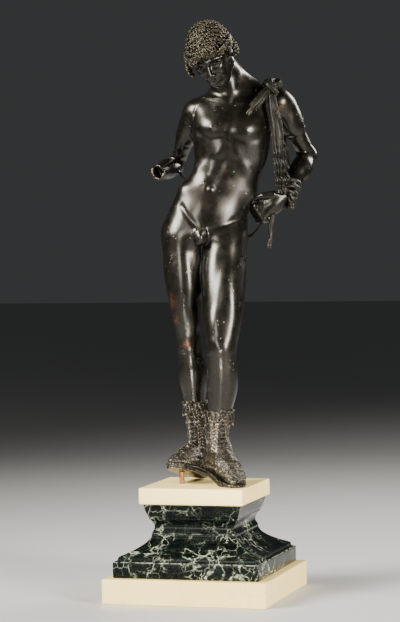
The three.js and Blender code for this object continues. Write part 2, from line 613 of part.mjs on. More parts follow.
// Animal skin: knot on the left shoulder, long folds to the wrist, windings, loose legs
function skin() {
  const parts = [
    cord(HIDE_FRONT.map((h) => h.slice(0, 3)), HIDE_FRONT.map((h) => min(h[3], 5.2))),
    ...folds(HIDE_FRONT, [-1, -0.35, 0.35, 1], 2.4, 4.4),
    ...folds(HIDE_BACK, [-1, 0, 1], 3.4, 0),
  ];
  parts.push(cord([[89, 20, 525], [92, 12.5, 530], [100, 9.5, 534], [108, 14, 535], [109, 25, 539],
    [102, 35, 542], [93, 33, 540], [88, 25, 533], [89, 20, 525]], [3.9, 3.9]));
  parts.push(cord([[105, 11, 524], [100, 7.5, 530], [95, 10, 536.5], [95, 20, 541], [99, 30, 542],
    [103, 42, 540]], [3, 4.2, 4.6, 4.6, 4.4, 4.2]));
  // The loose leg on the chest, with its ragged edges and hoof
  for (const f of [-1, 0, 1]) {
    const edge = (k) => [0.75 * f * k, 0, -0.62 * f * k];
    parts.push(cord([add([96, 12, 531], edge(3.4)), add([88, 6, 522], edge(3.6)),
      add([79, 1, 511], edge(3.2)), add([71, -1, 503], edge(1.8))], [2.6, 2.8, 2.6, 2.4]));
  }
  parts.push(cord([[71.3, -1.2, 503.4], [69.5, -1.5, 501], [65.6, -2.3, 495.4]], [3.2, 3.6, 2.4]));
  parts.push(cord([[105, 11.2, 533.2], [107, 11, 534], [111.6, 10.4, 536]], [2.6, 2.8, 1.9]));
  for (const [x, z] of [[117, 452], [119, 424], [120, 413]]) {
    parts.push(cord([[x - 7, 17, z + 5], [x - 3, 16, z + 1], [x, 15.5, z - 3]], [2.4, 2, 1]));
  }
  const axis = unit(sub(LEFT_ELBOW, LEFT_WRIST));
  const a1 = unit(cross(axis, [0, 1, 0]));
  const a2 = cross(axis, a1);
  for (let w = 0; w < 7; w += 1) {
    const centre = add(LEFT_WRIST, times(axis, -8.5 + 4.1 * w));
    const points = [];
    for (let i = 0; i <= 18; i += 1) {
      const a = (i / 18) * 2 * PI;
      const r = 11 + 0.5 * (w % 3) + 1.1 * sin(2 * a + w);
      const tilt = (4.8 + 0.5 * (w % 2)) * sin(a + w * 1.9);
      points.push(add(centre, add(times(axis, tilt), add(times(a1, r * cos(a)), times(a2, r * sin(a))))));
    }
    parts.push(cord(points, [STRAND_RADIUS, STRAND_RADIUS]));
  }
  parts.push(cord([[122, 26, 382], [124, 24, 374], [124, 24, 367]], [3, 2.6, 1.6]));
  parts.push(cord([[98, 30, 362], [95, 29, 346], [95, 28, 330], [93, 27, 322]], [3.4, 2.9, 2.4, 3]));
  parts.push(cord([[93, 27, 322], [91, 26, 315]], [3.4, 1.8]));
  parts.push(cord([[62, 46, 331], [70, 40, 335], [84, 36, 352]], [2.4, 2.1]));
  parts.push(cord([[69, 40, 388], [84, 32, 386], [104, 28, 388]], [2, 2]));
  return parts;
}

// A thin casting web joins the right elbow to the flank.
const elbowWeb = cord([[-31, 84, 424], [-22, 66, 414], [-14, 52, 408]], [2.4, 2, 2.6]);

const pubic = [
  cord([[-1, 2, 336], [-1, -2.6, 331.5], [-1.5, -2.8, 325]], [3, 2.5, 2.1]),
  egg([-3.8, 2, 326.5], [3.7, 4.8, 6.2]),
  egg([1.8, 2, 327], [3.7, 4.8, 5.8]),
  cord([[-9, 3, 343], [-1, 0.6, 340], [7, 3, 343]], [2.2, 2.8, 2.2]),
];

// The whole bronze figure as one field
const rightLeg = leg(rightLegColumn, rightRelief);
const leftLeg = leg(leftLegColumn, leftRelief);
const rightFoot = foot(RIGHT_FOOT, FIT_GAP);
const leftFoot = foot(LEFT_FOOT, FIT_GAP);
const wholeRightArm = blend(rightArmParts, rightArmRelief);
const rightArm = (p) => max(wholeRightArm(p), -stumpCut(p));
const leftArm = blend(leftArmParts, leftArmRelief);
const neck = blend(neckParts, neckRelief);
const hand = blend(handParts, []);
const bootParts = [
  ...boot(RIGHT_KNEE, RIGHT_ANKLE, 107, 15.8, 0.35),
  ...boot(LEFT_KNEE, LEFT_ANKLE, 97, 16.6, -0.35),
];
const skinParts = skin();

function figure(p) {
  const [x, , z] = p;
  let d = 1e3;
  if (z > 290) d = torso(p);
  if (z > 480) d = smoothMin(d, neck(p), 16);
  if (z > 510) d = smoothMin(d, head(p), 3);
  if (x < 32 && z > 400) d = smoothMin(d, rightArm(p), 9);
  if (x > 60 && z > 360) d = smoothMin(d, leftArm(p), 12);
  if (z < 370) {
    let legs = rightLeg(p);
    legs = smoothMin(legs, leftLeg(p), 3);
    if (z > 300) for (const part of pubic) d = smoothMin(d, part(p), 3);
    d = d > 900 ? legs : smoothMin(d, legs, 13);
  }
  if (z < 70) {
    d = smoothMin(d, rightFoot(p), 6);
    d = smoothMin(d, leftFoot(p), 6);
  }
  if (z > 50 && z < 125) for (const part of bootParts) d = smoothMin(d, part(p), 1.5);
  if (x > 55 && z > 300) {
    let gear = hand(p);
    for (const finger of fingers) gear = smoothMin(gear, finger(p), 1.5);
    gear = smoothMin(gear, thumb(p), 2);
    for (const part of skinParts) gear = smoothMin(gear, part(p), 1.5);
    d = smoothMin(d, gear, 1.5);
  }
  if (x < 0 && z > 390 && z < 450) d = smoothMin(d, elbowWeb(p), 1.5);
  return max(d, FIT_GAP - z);
}

// Skin the field with triangles: six tetrahedra to a cell, so the skin always closes
function polygonise(field, low, high, cell) {
  const n = [0, 1, 2].map((k) => Math.ceil((high[k] - low[k]) / cell) + 1);
  const at = (i, j, k) => (k * n[1] + j) * n[0] + i;
  const values = new Float32Array(n[0] * n[1] * n[2]).fill(NaN);
  const block = 5;
  const reach = block * cell * 1.9;
  const blocks = [];
  for (let k = 0; k < n[2] - 1; k += block) {
    for (let j = 0; j < n[1] - 1; j += block) {
      for (let i = 0; i < n[0] - 1; i += block) {
        const half = block / 2;
        const d = field([low[0] + (i + half) * cell, low[1] + (j + half) * cell, low[2] + (k + half) * cell]);
        if (abs(d) < reach) blocks.push([i, j, k]);
      }
    }
  }
  const value = (i, j, k) => {
    const a = at(i, j, k);
    if (Number.isNaN(values[a])) {
      const d = field([low[0] + i * cell, low[1] + j * cell, low[2] + k * cell]);
      values[a] = abs(d) < 1e-4 ? 1e-4 : d;
    }
    return values[a];
  };
  const positions = [];
  const triangles = [];
  const seen = new Map();
  const tets = [[0, 1, 3, 7], [0, 1, 5, 7], [0, 2, 3, 7], [0, 2, 6, 7], [0, 4, 5, 7], [0, 4, 6, 7]];
  const corner = (i, j, k, c) => [i + (c & 1), j + ((c >> 1) & 1), k + (c >> 2)];
  for (const [bi, bj, bk] of blocks) {
    for (let k = bk; k < min(bk + block, n[2] - 1); k += 1) {
      for (let j = bj; j < min(bj + block, n[1] - 1); j += 1) {
        for (let i = bi; i < min(bi + block, n[0] - 1); i += 1) {
          const d = [];
          let inside = 0;
          for (let c = 0; c < 8; c += 1) {
            d.push(value(...corner(i, j, k, c)));
            inside += d[c] < 0 ? 1 : 0;
          }
          if (inside === 0 || inside === 8) continue;
          const vertex = (a, b) => {
            const [lowCorner, highCorner] = a < b ? [a, b] : [b, a];
            const key = at(...corner(i, j, k, lowCorner)) * 8 + (lowCorner ^ highCorner);
            if (!seen.has(key)) {
              const t = clamp(d[lowCorner] / (d[lowCorner] - d[highCorner]), 0.06, 0.94);
              const p0 = corner(i, j, k, lowCorner);
              const p1 = corner(i, j, k, highCorner);
              for (let m = 0; m < 3; m += 1) positions.push(low[m] + cell * mix(p0[m], p1[m], t));
              seen.set(key, positions.length / 3 - 1);
            }
            return seen.get(key);
          };
          const face = (a, b, c, inner, outer) => {
            const p = [a, b, c].map((v) => [positions[3 * v], positions[3 * v + 1], positions[3 * v + 2]]);
            const normal = cross(sub(p[1], p[0]), sub(p[2], p[0]));
            const out = sub(corner(0, 0, 0, outer), corner(0, 0, 0, inner));
            if (dot(normal, out) > 0) triangles.push(a, b, c);
            else triangles.push(a, c, b);
          };
          for (const tet of tets) {
            const ins = tet.filter((c) => d[c] < 0);
            const outs = tet.filter((c) => d[c] >= 0);
            if (ins.length === 1) {
              face(...outs.map((o) => vertex(ins[0], o)), ins[0], outs[1]);
            } else if (ins.length === 3) {
              face(...ins.map((c) => vertex(c, outs[0])), ins[1], outs[0]);
            } else if (ins.length === 2) {
              const [a, b] = ins;
              const [c, e] = outs;
              const quad = [vertex(a, c), vertex(a, e), vertex(b, e), vertex(b, c)];
              face(quad[0], quad[1], quad[2], a, c);
              face(quad[0], quad[2], quad[3], a, c);
            }
          }
        }
      }
    }
  }
  return largestBody(positions, triangles);
}

// Keep the one connected skin with the most triangles, so no speck or bubble is left.
function largestBody(positions, triangles) {
  const parent = Array.from({ length: positions.length / 3 }, (_, i) => i);
  const root = (v) => {
    let i = v;
    while (parent[i] !== i) {
      parent[i] = parent[parent[i]];
      i = parent[i];
    }
    return i;
  };
  for (let i = 0; i < triangles.length; i += 3) {
    parent[root(triangles[i])] = root(triangles[i + 1]);
    parent[root(triangles[i + 1])] = root(triangles[i + 2]);
  }
  const counts = new Map();
  for (const v of triangles) counts.set(root(v), (counts.get(root(v)) ?? 0) + 1);
  const [main] = [...counts.entries()].reduce((a, b) => (b[1] > a[1] ? b : a));
  const kept = [];
  for (let i = 0; i < triangles.length; i += 3) {
    if (root(triangles[i]) === main) kept.push(triangles[i], triangles[i + 1], triangles[i + 2]);
  }
  return { positions, triangles: kept };
}

// Collapse edges where the surface is flattest, never breaking the closed skin
function thin(mesh, target, importance) {
  const { positions: pos, triangles: tri } = mesh;
  const vertexCount = pos.length / 3;
  const faces = Array.from({ length: vertexCount }, () => []);
  const quadrics = Array.from({ length: vertexCount }, () => new Float64Array(10));
  const alive = new Uint8Array(tri.length / 3).fill(1);
  const version = new Int32Array(vertexCount);
  const point = (v) => [pos[3 * v], pos[3 * v + 1], pos[3 * v + 2]];
  const normalOf = (a, b, c) => cross(sub(b, a), sub(c, a));
  for (let f = 0; f < alive.length; f += 1) {
    const v = [tri[3 * f], tri[3 * f + 1], tri[3 * f + 2]];
    const normal = normalOf(...v.map(point));
    const size = hypot(...normal);
    const n = times(normal, 1 / max(size, 1e-9));
    const w = -dot(n, point(v[0]));
    const weight = size * importance(point(v[0]));
    const q = [n[0] * n[0], n[0] * n[1], n[0] * n[2], n[0] * w, n[1] * n[1],
      n[1] * n[2], n[1] * w, n[2] * n[2], n[2] * w, w * w];
    for (const i of v) {
      faces[i].push(f);
      for (let k = 0; k < 10; k += 1) quadrics[i][k] += q[k] * weight;
    }
  }
  const error = (q, [x, y, z]) => q[0] * x * x + 2 * q[1] * x * y + 2 * q[2] * x * z + 2 * q[3] * x
    + q[4] * y * y + 2 * q[5] * y * z + 2 * q[6] * y + q[7] * z * z + 2 * q[8] * z + q[9];
  const best = (a, b) => {
    const q = quadrics[a].map((v, k) => v + quadrics[b][k]);
    const [pa, pb] = [point(a), point(b)];
    const middle = between(pa, pb, 0.5);
    const len2 = dot(sub(pa, pb), sub(pa, pb));
    const soft = 1e-3 * (q[0] + q[4] + q[7]) + 1e-9;
    const m = [[q[0] + soft, q[1], q[2]], [q[1], q[4] + soft, q[5]], [q[2], q[5], q[7] + soft]];
    const right = [soft * middle[0] - q[3], soft * middle[1] - q[6], soft * middle[2] - q[8]];
    const det = dot(m[0], cross(m[1], m[2]));
    let where = middle;
    if (abs(det) > 1e-12) {
      const solved = times(add(add(times(cross(m[1], m[2]), right[0]), times(cross(m[2], m[0]), right[1])),
        times(cross(m[0], m[1]), right[2])), 1 / det);
      const off = sub(solved, middle);
      if (dot(off, off) < 2 * len2) where = solved;
    }
    where = [where[0], where[1], max(where[2], FIT_GAP)];
    return { cost: error(q, where) + 1.5e-3 * len2, where };
  };
  const heap = [];
  const swap = (i, j) => {
    [heap[i], heap[j]] = [heap[j], heap[i]];
  };
  const push = (item) => {
    heap.push(item);
    let i = heap.length - 1;
    while (i > 0 && heap[i].cost < heap[(i - 1) >> 1].cost) {
      swap(i, (i - 1) >> 1);
      i = (i - 1) >> 1;
    }
  };
  const pop = () => {
    const first = heap[0];
    const last = heap.pop();
    if (heap.length > 0) {
      heap[0] = last;
      let i = 0;
      for (;;) {
        const l = 2 * i + 1;
        if (l >= heap.length) break;
        const c = l + 1 < heap.length && heap[l + 1].cost < heap[l].cost ? l + 1 : l;
        if (heap[c].cost >= heap[i].cost) break;
        swap(i, c);
        i = c;
      }
    }
    return first;
  };
  const offer = (a, b) => {
    const { cost, where } = best(a, b);
    push({ cost, where, a, b, stamp: version[a] + version[b] });
  };
  const ring = (v) => {
    const set = new Set();
    for (const f of faces[v]) for (let k = 0; k < 3; k += 1) set.add(tri[3 * f + k]);
    set.delete(v);
    return set;
  };
  const keepsShape = (v, other, where) => {
    for (const f of faces[v]) {
      const c = [tri[3 * f], tri[3 * f + 1], tri[3 * f + 2]];
      if (c.includes(other)) continue;
      const before = normalOf(...c.map(point));
      const after = normalOf(...c.map((i) => (i === v ? where : point(i))));
      const size = hypot(...after);
      if (size < 1e-3 || dot(before, after) < 0.25 * size * hypot(...before)) return false;
      const sides = [0, 1, 2].map((k) => sub(c[k] === v ? where : point(c[k]),
        c[(k + 1) % 3] === v ? where : point(c[(k + 1) % 3])));
      const longest = max(...sides.map((e) => dot(e, e)));
      if (size < 0.06 * longest) return false;
    }
    return true;
  };
  for (let v = 0; v < vertexCount; v += 1) for (const other of ring(v)) if (other > v) offer(v, other);
  let left = alive.length;
  while (left > target && heap.length > 0) {
    const { a, b, where, stamp } = pop();
    if (faces[a].length === 0 || faces[b].length === 0 || stamp !== version[a] + version[b]) continue;
    const [ringA, ringB] = [ring(a), ring(b)];
    const shared = [...ringA].filter((v) => ringB.has(v));
    if (shared.length !== 2 || ringA.size + ringB.size < 8) continue;
    if (!keepsShape(a, b, where) || !keepsShape(b, a, where)) continue;
    for (let k = 0; k < 3; k += 1) pos[3 * a + k] = where[k];
    for (let k = 0; k < 10; k += 1) quadrics[a][k] += quadrics[b][k];
    for (const f of faces[b]) {
      const corners = [tri[3 * f], tri[3 * f + 1], tri[3 * f + 2]];
      if (corners.includes(a)) {
        alive[f] = 0;
        left -= 1;
        for (const c of corners) if (c !== b) faces[c] = faces[c].filter((g) => g !== f);
      } else {
        tri[3 * f + corners.indexOf(b)] = a;
        faces[a].push(f);
      }
    }
    faces[b] = [];
    version[a] += 1;
    version[b] += 1;
    for (const v of ring(a)) offer(a, v);
  }
  const renumber = new Map();
  const outPositions = [];
  const outTriangles = [];
  for (let f = 0; f < alive.length; f += 1) {
    if (!alive[f]) continue;
    for (let k = 0; k < 3; k += 1) {
      const v = tri[3 * f + k];
      if (!renumber.has(v)) {
        renumber.set(v, outPositions.length / 3);
        outPositions.push(...point(v));
      }
      outTriangles.push(renumber.get(v));
    }
  }
  return { positions: outPositions, triangles: outTriangles };
}

// Slide every corner along the field's slope until it lies on the surface.
function settle({ positions, triangles }, field, reach) {
  const step = 0.4;
  for (let i = 0; i < positions.length; i += 3) {
    const p = [positions[i], positions[i + 1], positions[i + 2]];
    if (p[2] < FIT_GAP + 0.5) continue;
    const d = field(p);
    const g = [0, 1, 2].map((k) => (field(p.map((v, m) => v + (m === k ? step : 0))) - d) / step);
    const g2 = dot(g, g);
    if (g2 < 0.15) continue;
    const move = times(g, -d / g2);
    const size = hypot(...move);
    const next = add(p, times(move, min(1, reach / max(size, 1e-9))));
    for (let k = 0; k < 3; k += 1) positions[i + k] = next[k];
    positions[i + 2] = max(positions[i + 2], FIT_GAP);
  }
  return { positions, triangles };
}

// Where triangles matter most: the face first, then the nude body, the hair and skin least.
function importance(p) {
  const q = times(inFrame(HEAD, p), 1 / HEAD_SCALE);
  if (hypot(...q) < 60 && p[2] > 530) return faceOpening(q) < 4 ? 5 : 0.5;
  if (p[2] < 118) return 1;
  return p[0] > 62 && skinParts.some((part) => part(p) < 1) ? 0.4 : 2.2;
}

function toGeometry({ positions, triangles }) {
  const geometry = new THREE.BufferGeometry();
  geometry.setAttribute('position', new THREE.Float32BufferAttribute(positions, 3));
  geometry.setIndex(triangles);
  return geometry;
}

// Base: square rings stacked through a moulding's profile of [half side, height]
function squareStack(profile) {
  const positions = [0, 0, profile[0][1]];
  const triangles = [];
  for (const [half, z] of profile) {
    for (const [sx, sy] of [[-1, -1], [1, -1], [1, 1], [-1, 1]]) positions.push(sx * half, sy * half, z);
  }
  const last = profile.length - 1;
  positions.push(0, 0, profile[last][1]);
  for (let side = 0; side < 4; side += 1) {
    const next = (side + 1) % 4;
    triangles.push(0, 1 + next, 1 + side);
    for (let i = 0; i < last; i += 1) {
      const [a, b] = [1 + 4 * i + side, 1 + 4 * i + next];
      triangles.push(a, b, b + 4, a, b + 4, a + 4);
    }
    triangles.push(1 + 4 * last + side, 1 + 4 * last + next, 2 + 4 * (last + 1) - 1);
  }
  return toGeometry({ positions, triangles });
}

// A slab with a softened edge top and bottom.
function slab(side, low, height) {
  const half = side / 2;
  const profile = [];
  for (const [t, end] of [[0, low], [1, low + height]]) {
    const arc = [];
    for (let i = 0; i <= 3; i += 1) {
      const a = (i / 3) * (PI / 2);
      const dz = EDGE_SOFTENING * (1 - sin(a));
      arc.push([half - EDGE_SOFTENING * (1 - cos(a)), t ? end - dz : end + dz]);
    }
    profile.push(...(t ? arc : arc.reverse()));
  }
  return squareStack(profile);
}

const SOCLE_LOW = BASE_HEIGHT + FIT_GAP;
const SOCLE_TOP = GROUND - TOP_HEIGHT - FIT_GAP;
const SOCLE_PLINTH_HALF = 100;
const SOCLE_FOOT_HALF = 94.5;
const SOCLE_NECK_HALF = 55.2;
const SOCLE_CAP_HALF = 66.4;

// From the ground up: plinth block, low step, hollow sweep, fillet, neck, swelling head, cap
function socleProfile() {
  const profile = [
    [SOCLE_PLINTH_HALF - 0.8, SOCLE_LOW],
    [SOCLE_PLINTH_HALF, SOCLE_LOW + 1],
    [SOCLE_PLINTH_HALF, 53.6],
    [SOCLE_PLINTH_HALF - 0.8, 55.2],
    [SOCLE_FOOT_HALF + 0.5, 56.3],
    [SOCLE_FOOT_HALF, 57.4],
    [SOCLE_FOOT_HALF, 59.8],
    [SOCLE_FOOT_HALF - 1, 60.9],
  ];
  for (let i = 0; i <= 10; i += 1) {
    const s = i / 10;
    profile.push([SOCLE_NECK_HALF + 3 + 34.3 * (1 - s) ** 1.85, mix(61.6, 87.5, s)]);
  }
  // Fillet over the sweep, then the neck.
  for (const [out, z] of [[3.2, 88.3], [1.9, 92], [0.8, 93.4], [0, 95.5], [0, 100.2]]) {
    profile.push([SOCLE_NECK_HALF + out, z]);
  }
  // Head: a hollow, a thin lip, and a swelling that carries the cap.
  for (const [out, z] of [[1.5, 103.2], [4.4, 107.2], [5.6, 108.2], [5.5, 109.6], [7.4, 113.4],
    [9.8, 120.4], [11, 125.4]]) {
    profile.push([SOCLE_NECK_HALF + out, z]);
  }
  profile.push([SOCLE_CAP_HALF, 126.2]);
  profile.push([SOCLE_CAP_HALF, SOCLE_TOP - 0.8]);
  profile.push([SOCLE_CAP_HALF - 0.9, SOCLE_TOP]);
  return profile;
}

// Radii of the turned peg at even steps from its foot ring, past the waist, to its head
const PEG_RADII = [3.5, 3.7, 3.4, 3.3, 3.5, 3.7];
const PEG_SIDES = 16;

// A small metal peg holds up the ball of the right foot.
function peg(frame) {
  const at = outOf(frame, [-1, 66, 0]);
  const rows = PEG_RADII.length - 1;
  const geometry = new THREE.CylinderGeometry(1, 1, 1, PEG_SIDES, rows);
  geometry.rotateX(PI / 2);
  const place = geometry.attributes.position;
  const slope = [frame.up[0] / frame.up[2], frame.up[1] / frame.up[2]];
  for (let i = 0; i < place.count; i += 1) {
    const t = place.getZ(i) + 0.5;
    const r = PEG_RADII[round(t * rows)];
    const [x, y] = [place.getX(i) * r, place.getY(i) * r];
    const top = at[2] - FIT_GAP - slope[0] * x - slope[1] * y;
    place.setXYZ(i, at[0] + x, at[1] + y, mix(FIT_GAP, top, t));
  }
  return geometry;
}

// Assemble
function piece(name, geometry, colour, roughness, metalness) {
  geometry.deleteAttribute('normal');
  geometry.deleteAttribute('uv');
  const welded = mergeVertices(geometry, 1e-4);
  welded.computeVertexNormals();
  const material = new THREE.MeshStandardMaterial({ color: colour, roughness, metalness });
  const mesh = new THREE.Mesh(welded, material);
  mesh.name = name;
  return mesh;
}

function onTheBase(geometry) {
  geometry.rotateZ(FIGURE_TURN);
  geometry.translate(0, 0, GROUND);
  return geometry;
}

const fine = polygonise(figure, [-78, -86, FIT_GAP - 1.2 * CELL], [172, 122, 632], CELL);
const settled = settle(fine, figure, 0.5 * CELL);
const body = toGeometry(settle(thin(settled, FIGURE_TRIANGLES, importance), figure, 0.25));

const part = new THREE.Group();
part.name = 'bronze_male_figure';
part.add(piece('base_slab', slab(BASE_SIDE, 0, BASE_HEIGHT), 0xe6dcc0, 0.45, 0));
part.add(piece('green_socle', squareStack(socleProfile()), 0x1b2620, 0.2, 0));
part.add(piece('top_slab', slab(TOP_SIDE, GROUND - TOP_HEIGHT, TOP_HEIGHT), 0xe9dfc2, 0.45, 0));
part.add(piece('support_peg', onTheBase(peg(RIGHT_FOOT)), 0xa5622b, 0.5, 0.6));
part.add(piece('bronze_figure', onTheBase(body), 0x2a2420, 0.32, 0.9));

export default part;
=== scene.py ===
"""The looks of a bronze male figure on its marble plinth: a Blender add-on that is run as a script.

Shapes are worked out in millimetres in the figure's own frame (x to its left hand, -y to its front,
z up from the top slab) and are put on the base in metres. Fields are negative inside the metal.
"""

import math
from typing import NamedTuple

import bpy
import numpy as np
from bpy.props import FloatProperty, FloatVectorProperty, IntProperty, PointerProperty
from bpy.types import Operator, Panel, PropertyGroup
from numpy import arange, asarray, clip, concatenate, cos, full, interp, linspace, maximum, minimum, sin
from numpy import sqrt, stack
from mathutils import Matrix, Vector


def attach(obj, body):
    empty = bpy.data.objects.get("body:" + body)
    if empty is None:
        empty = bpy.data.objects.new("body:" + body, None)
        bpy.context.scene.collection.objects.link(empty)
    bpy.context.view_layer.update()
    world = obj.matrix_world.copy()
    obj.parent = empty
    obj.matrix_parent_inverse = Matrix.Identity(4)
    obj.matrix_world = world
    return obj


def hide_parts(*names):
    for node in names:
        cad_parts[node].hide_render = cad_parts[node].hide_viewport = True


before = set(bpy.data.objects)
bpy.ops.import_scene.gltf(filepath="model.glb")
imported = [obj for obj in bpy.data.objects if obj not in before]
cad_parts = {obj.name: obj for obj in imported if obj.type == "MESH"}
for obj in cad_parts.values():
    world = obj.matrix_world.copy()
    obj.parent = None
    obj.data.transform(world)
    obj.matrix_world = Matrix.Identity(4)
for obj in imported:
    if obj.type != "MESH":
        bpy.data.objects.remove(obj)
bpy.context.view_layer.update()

bl_info = {
    "name": "Bronze figure on a marble plinth",
    "version": (1, 0, 0),
    "blender": (4, 5, 0),
    "location": "3D View > Sidebar > Figure",
    "description": "Builds the dressed bronze figure, its marble plinth and a plain studio",
    "category": "Object",
}

TAU = 2.0 * math.pi

# Sizes that the solids share, in mm, and the turn of the figure on its plinth.
FIGURE_TURN = math.radians(16.4)
GROUND = 150.3
BASE_SIDE = 224.0
BASE_HEIGHT = 33.5
TOP_SIDE = 143.0
TOP_HEIGHT = 21.8
FIT_GAP = 0.3
FOOT_LENGTH = 93.0
SOLE_THICKNESS = 8.0
LEFT_HEEL_LIFT = 12.0

# How fields and patterns are worked out.
HEAD_SCALE = 0.97
MUSCLE = 1.15
FAR = 1000.0
RELIEF_BAND = 14.0
TRUNK_BAND = 16.0
FADED_OUT = 2.4
POINTS_AT_ONCE = 12000
GOLDEN_ANGLE = 2.39996


# Small vector helpers


def vec(*values):
    return np.array(values, float)


def unit(a):
    """Scales vectors, one or many, to length one."""
    a = asarray(a, float)
    return a / maximum(np.linalg.norm(a, axis=-1, keepdims=True), 1e-12)


def between(a, b, t):
    return asarray(a, float) * (1.0 - t) + asarray(b, float) * t


def mix(a, b, t):
    return a + (b - a) * t


def once_round(count):
    """Even angles once round a circle."""
    return arange(count) / count * TAU


def shifted(points, *moves):
    """Points moved by amounts along ways, each given as a pair."""
    for amount, way in moves:
        points = points + amount[..., None] * way
    return points


class Frame:
    """An origin and three axes: side (the figure's left), forward and up.

    Yaw turns it to the figure's right, pitch bends it forward, roll leans its top to its right.
    """

    def __init__(self, origin, yaw, pitch, roll, scale=1.0):
        y, p, r = (math.radians(v) for v in (yaw, pitch, roll))
        forward = vec(-math.sin(y) * math.cos(p), -math.cos(y) * math.cos(p), -math.sin(p))
        straight_up = unit(vec(0, 0, 1) + forward * math.sin(p))
        side = np.cross(straight_up, forward)
        up = straight_up * math.cos(r) - side * math.sin(r)
        self.origin = asarray(origin, float)
        self.axes = np.array([np.cross(up, forward), forward, up])
        self.scale = scale

    def inward(self, p):
        return (p - self.origin) @ self.axes.T / self.scale

    def outward(self, q):
        return self.origin + asarray(q, float) @ self.axes * self.scale


# Fields: forms that know the box outside which they have no effect


class Form:
    """A field over points, with the box that holds its zero surface."""

    def __init__(self, value, low, high):
        self.value = value
        self.low = asarray(low, float)
        self.high = asarray(high, float)

    def near(self, p, reach):
        return np.all((p > self.low - reach) & (p < self.high + reach), axis=1)


def bell(x, width):
    """A soft bump of height one round zero."""
    return np.exp(-((x / width) ** 2))


def smooth_min(a, b, k):
    """The lower of two fields, rounded over a band k wide."""
    h = maximum(k - np.abs(a - b), 0.0) / k
    return minimum(a, b) - h * h * k * 0.25


def smooth_max(a, b, k):
    return -smooth_min(-a, -b, k)


def rod(a, b, ra, rb):
    """Distance to a straight line less a radius that runs from ra to rb."""
    a, b = asarray(a, float), asarray(b, float)
    ab = b - a
    scale = 1.0 / max(ab @ ab, 1e-9)

    def value(p):
        q = p - a
        t = clip((q @ ab) * scale, 0.0, 1.0)
        q -= t[:, None] * ab
        return sqrt(np.einsum("ij,ij->i", q, q)) - (ra + (rb - ra) * t)

    return Form(value, minimum(a - ra, b - rb), maximum(a + ra, b + rb))


def cord(points, radii):
    """Rods end to end through the points."""
    points = asarray(points, float)
    n = len(points) - 1
    radii = interp(linspace(0, 1, n + 1), linspace(0, 1, len(radii)), radii)
    rods = [rod(points[i], points[i + 1], radii[i], radii[i + 1]) for i in range(n)]

    def value(p):
        return np.min([r.value(p) for r in rods], axis=0)

    return Form(value, np.min([r.low for r in rods], axis=0), np.max([r.high for r in rods], axis=0))


def egg(c, r):
    """Close to the distance to an ellipsoid with centre c and half axes r."""
    c, r = asarray(c, float), asarray(r, float)

    def value(p):
        x = (p - c) / r
        k0 = sqrt(np.einsum("ij,ij->i", x, x))
        y = x / r
        k1 = sqrt(np.einsum("ij,ij->i", y, y))
        return k0 * (k0 - 1.0) / maximum(k1, 1e-6)

    return Form(value, c - r, c + r)


def column(stations, power, top_round, bottom_round):
    """An upright column whose centre and half width and depth follow a cubic through the stations."""
    s = asarray(stations, float)
    slopes = np.empty_like(s)
    slopes[1:-1] = (s[2:] - s[:-2]) / (s[2:, :1] - s[:-2, :1])
    slopes[0] = (s[1] - s[0]) / (s[1, 0] - s[0, 0])
    slopes[-1] = (s[-1] - s[-2]) / (s[-1, 0] - s[-2, 0])
    low, high = s[0, 0], s[-1, 0]
    z = arange(low, high + 1.5)
    i = clip(np.searchsorted(s[:, 0], z, side="left") - 1, 0, len(s) - 2)
    w = (s[i + 1, 0] - s[i, 0])[:, None]
    t = clip((z - s[i, 0])[:, None] / w, 0.0, 1.0)
    table = (
        s[i] * (1 + 2 * t) * (1 - t) ** 2
        + s[i + 1] * t * t * (3 - 2 * t)
        + slopes[i] * w * t * (1 - t) ** 2
        - slopes[i + 1] * w * t * t * (1 - t)
    )[:, 1:]

    def value(p):
        at = clip(p[:, 2], low, high) - low
        k = minimum(at.astype(int), len(table) - 2)
        f = (at - k)[:, None]
        cx, cy, a, b = (table[k] * (1 - f) + table[k + 1] * f).T
        g = (np.abs((p[:, 0] - cx) / a) ** power + np.abs((p[:, 1] - cy) / b) ** power) ** (1 / power)
        wall = (g - 1) * minimum(a, b)
        return smooth_max(smooth_max(wall, p[:, 2] - high, top_round), low - p[:, 2], bottom_round)

    half = s[:, 3:5].max(axis=0) + 2
    low_corner = [*(s[:, 1:3].min(axis=0) - half), low]
    high_corner = [*(s[:, 1:3].max(axis=0) + half), high]
    return Form(value, low_corner, high_corner)


def swell(c, r, height):
    """A soft swelling, or a hollow where the height is negative, at c."""
    c, r = asarray(c, float), asarray(r, float)

    def value(p):
        x = (p - c) / r
        return height * np.exp(-np.einsum("ij,ij->i", x, x))

    return Form(value, c - FADED_OUT * r, c + FADED_OUT * r)


def ridge(points, width, height):
    """A soft ridge, or a groove, along a line of points."""
    line = cord(points, [0, 0])

    def value(p):
        return height * bell(line.value(p), width)

    return Form(value, line.low - FADED_OUT * width, line.high + FADED_OUT * width)


def both(make):
    """The forms that make(1) and make(-1) list for the two sides, in pairs."""
    return [form for pair in zip(make(1), make(-1)) for form in pair]


def relief(p, forms):
    """The sum of the reliefs at p."""
    height = np.zeros(len(p))
    for form in forms:
        near = form.near(p, 0.0)
        if near.any():
            height[near] += form.value(p[near])
    return height


def join(d, p, form, k, reach):
    """Joins a form to field d with a fillet k wide, only where p is near the form."""
    near = form.near(p, reach + k)
    if near.any():
        d[near] = smooth_min(d[near], form.value(p[near]), k)
    return d


def raised(d, p, forms):
    """Takes the forms' relief off field d where the surface is near."""
    close = np.abs(d) < RELIEF_BAND
    if close.any():
        d[close] -= relief(p[close], forms)
    return d


def blend(p, parts, reach, reliefs=()):
    """A chain of forms joined in turn, less their relief."""
    d = full(len(p), FAR)
    for form, k in parts:
        join(d, p, form, k, reach)
    return raised(d, p, reliefs)


# Where the body stands

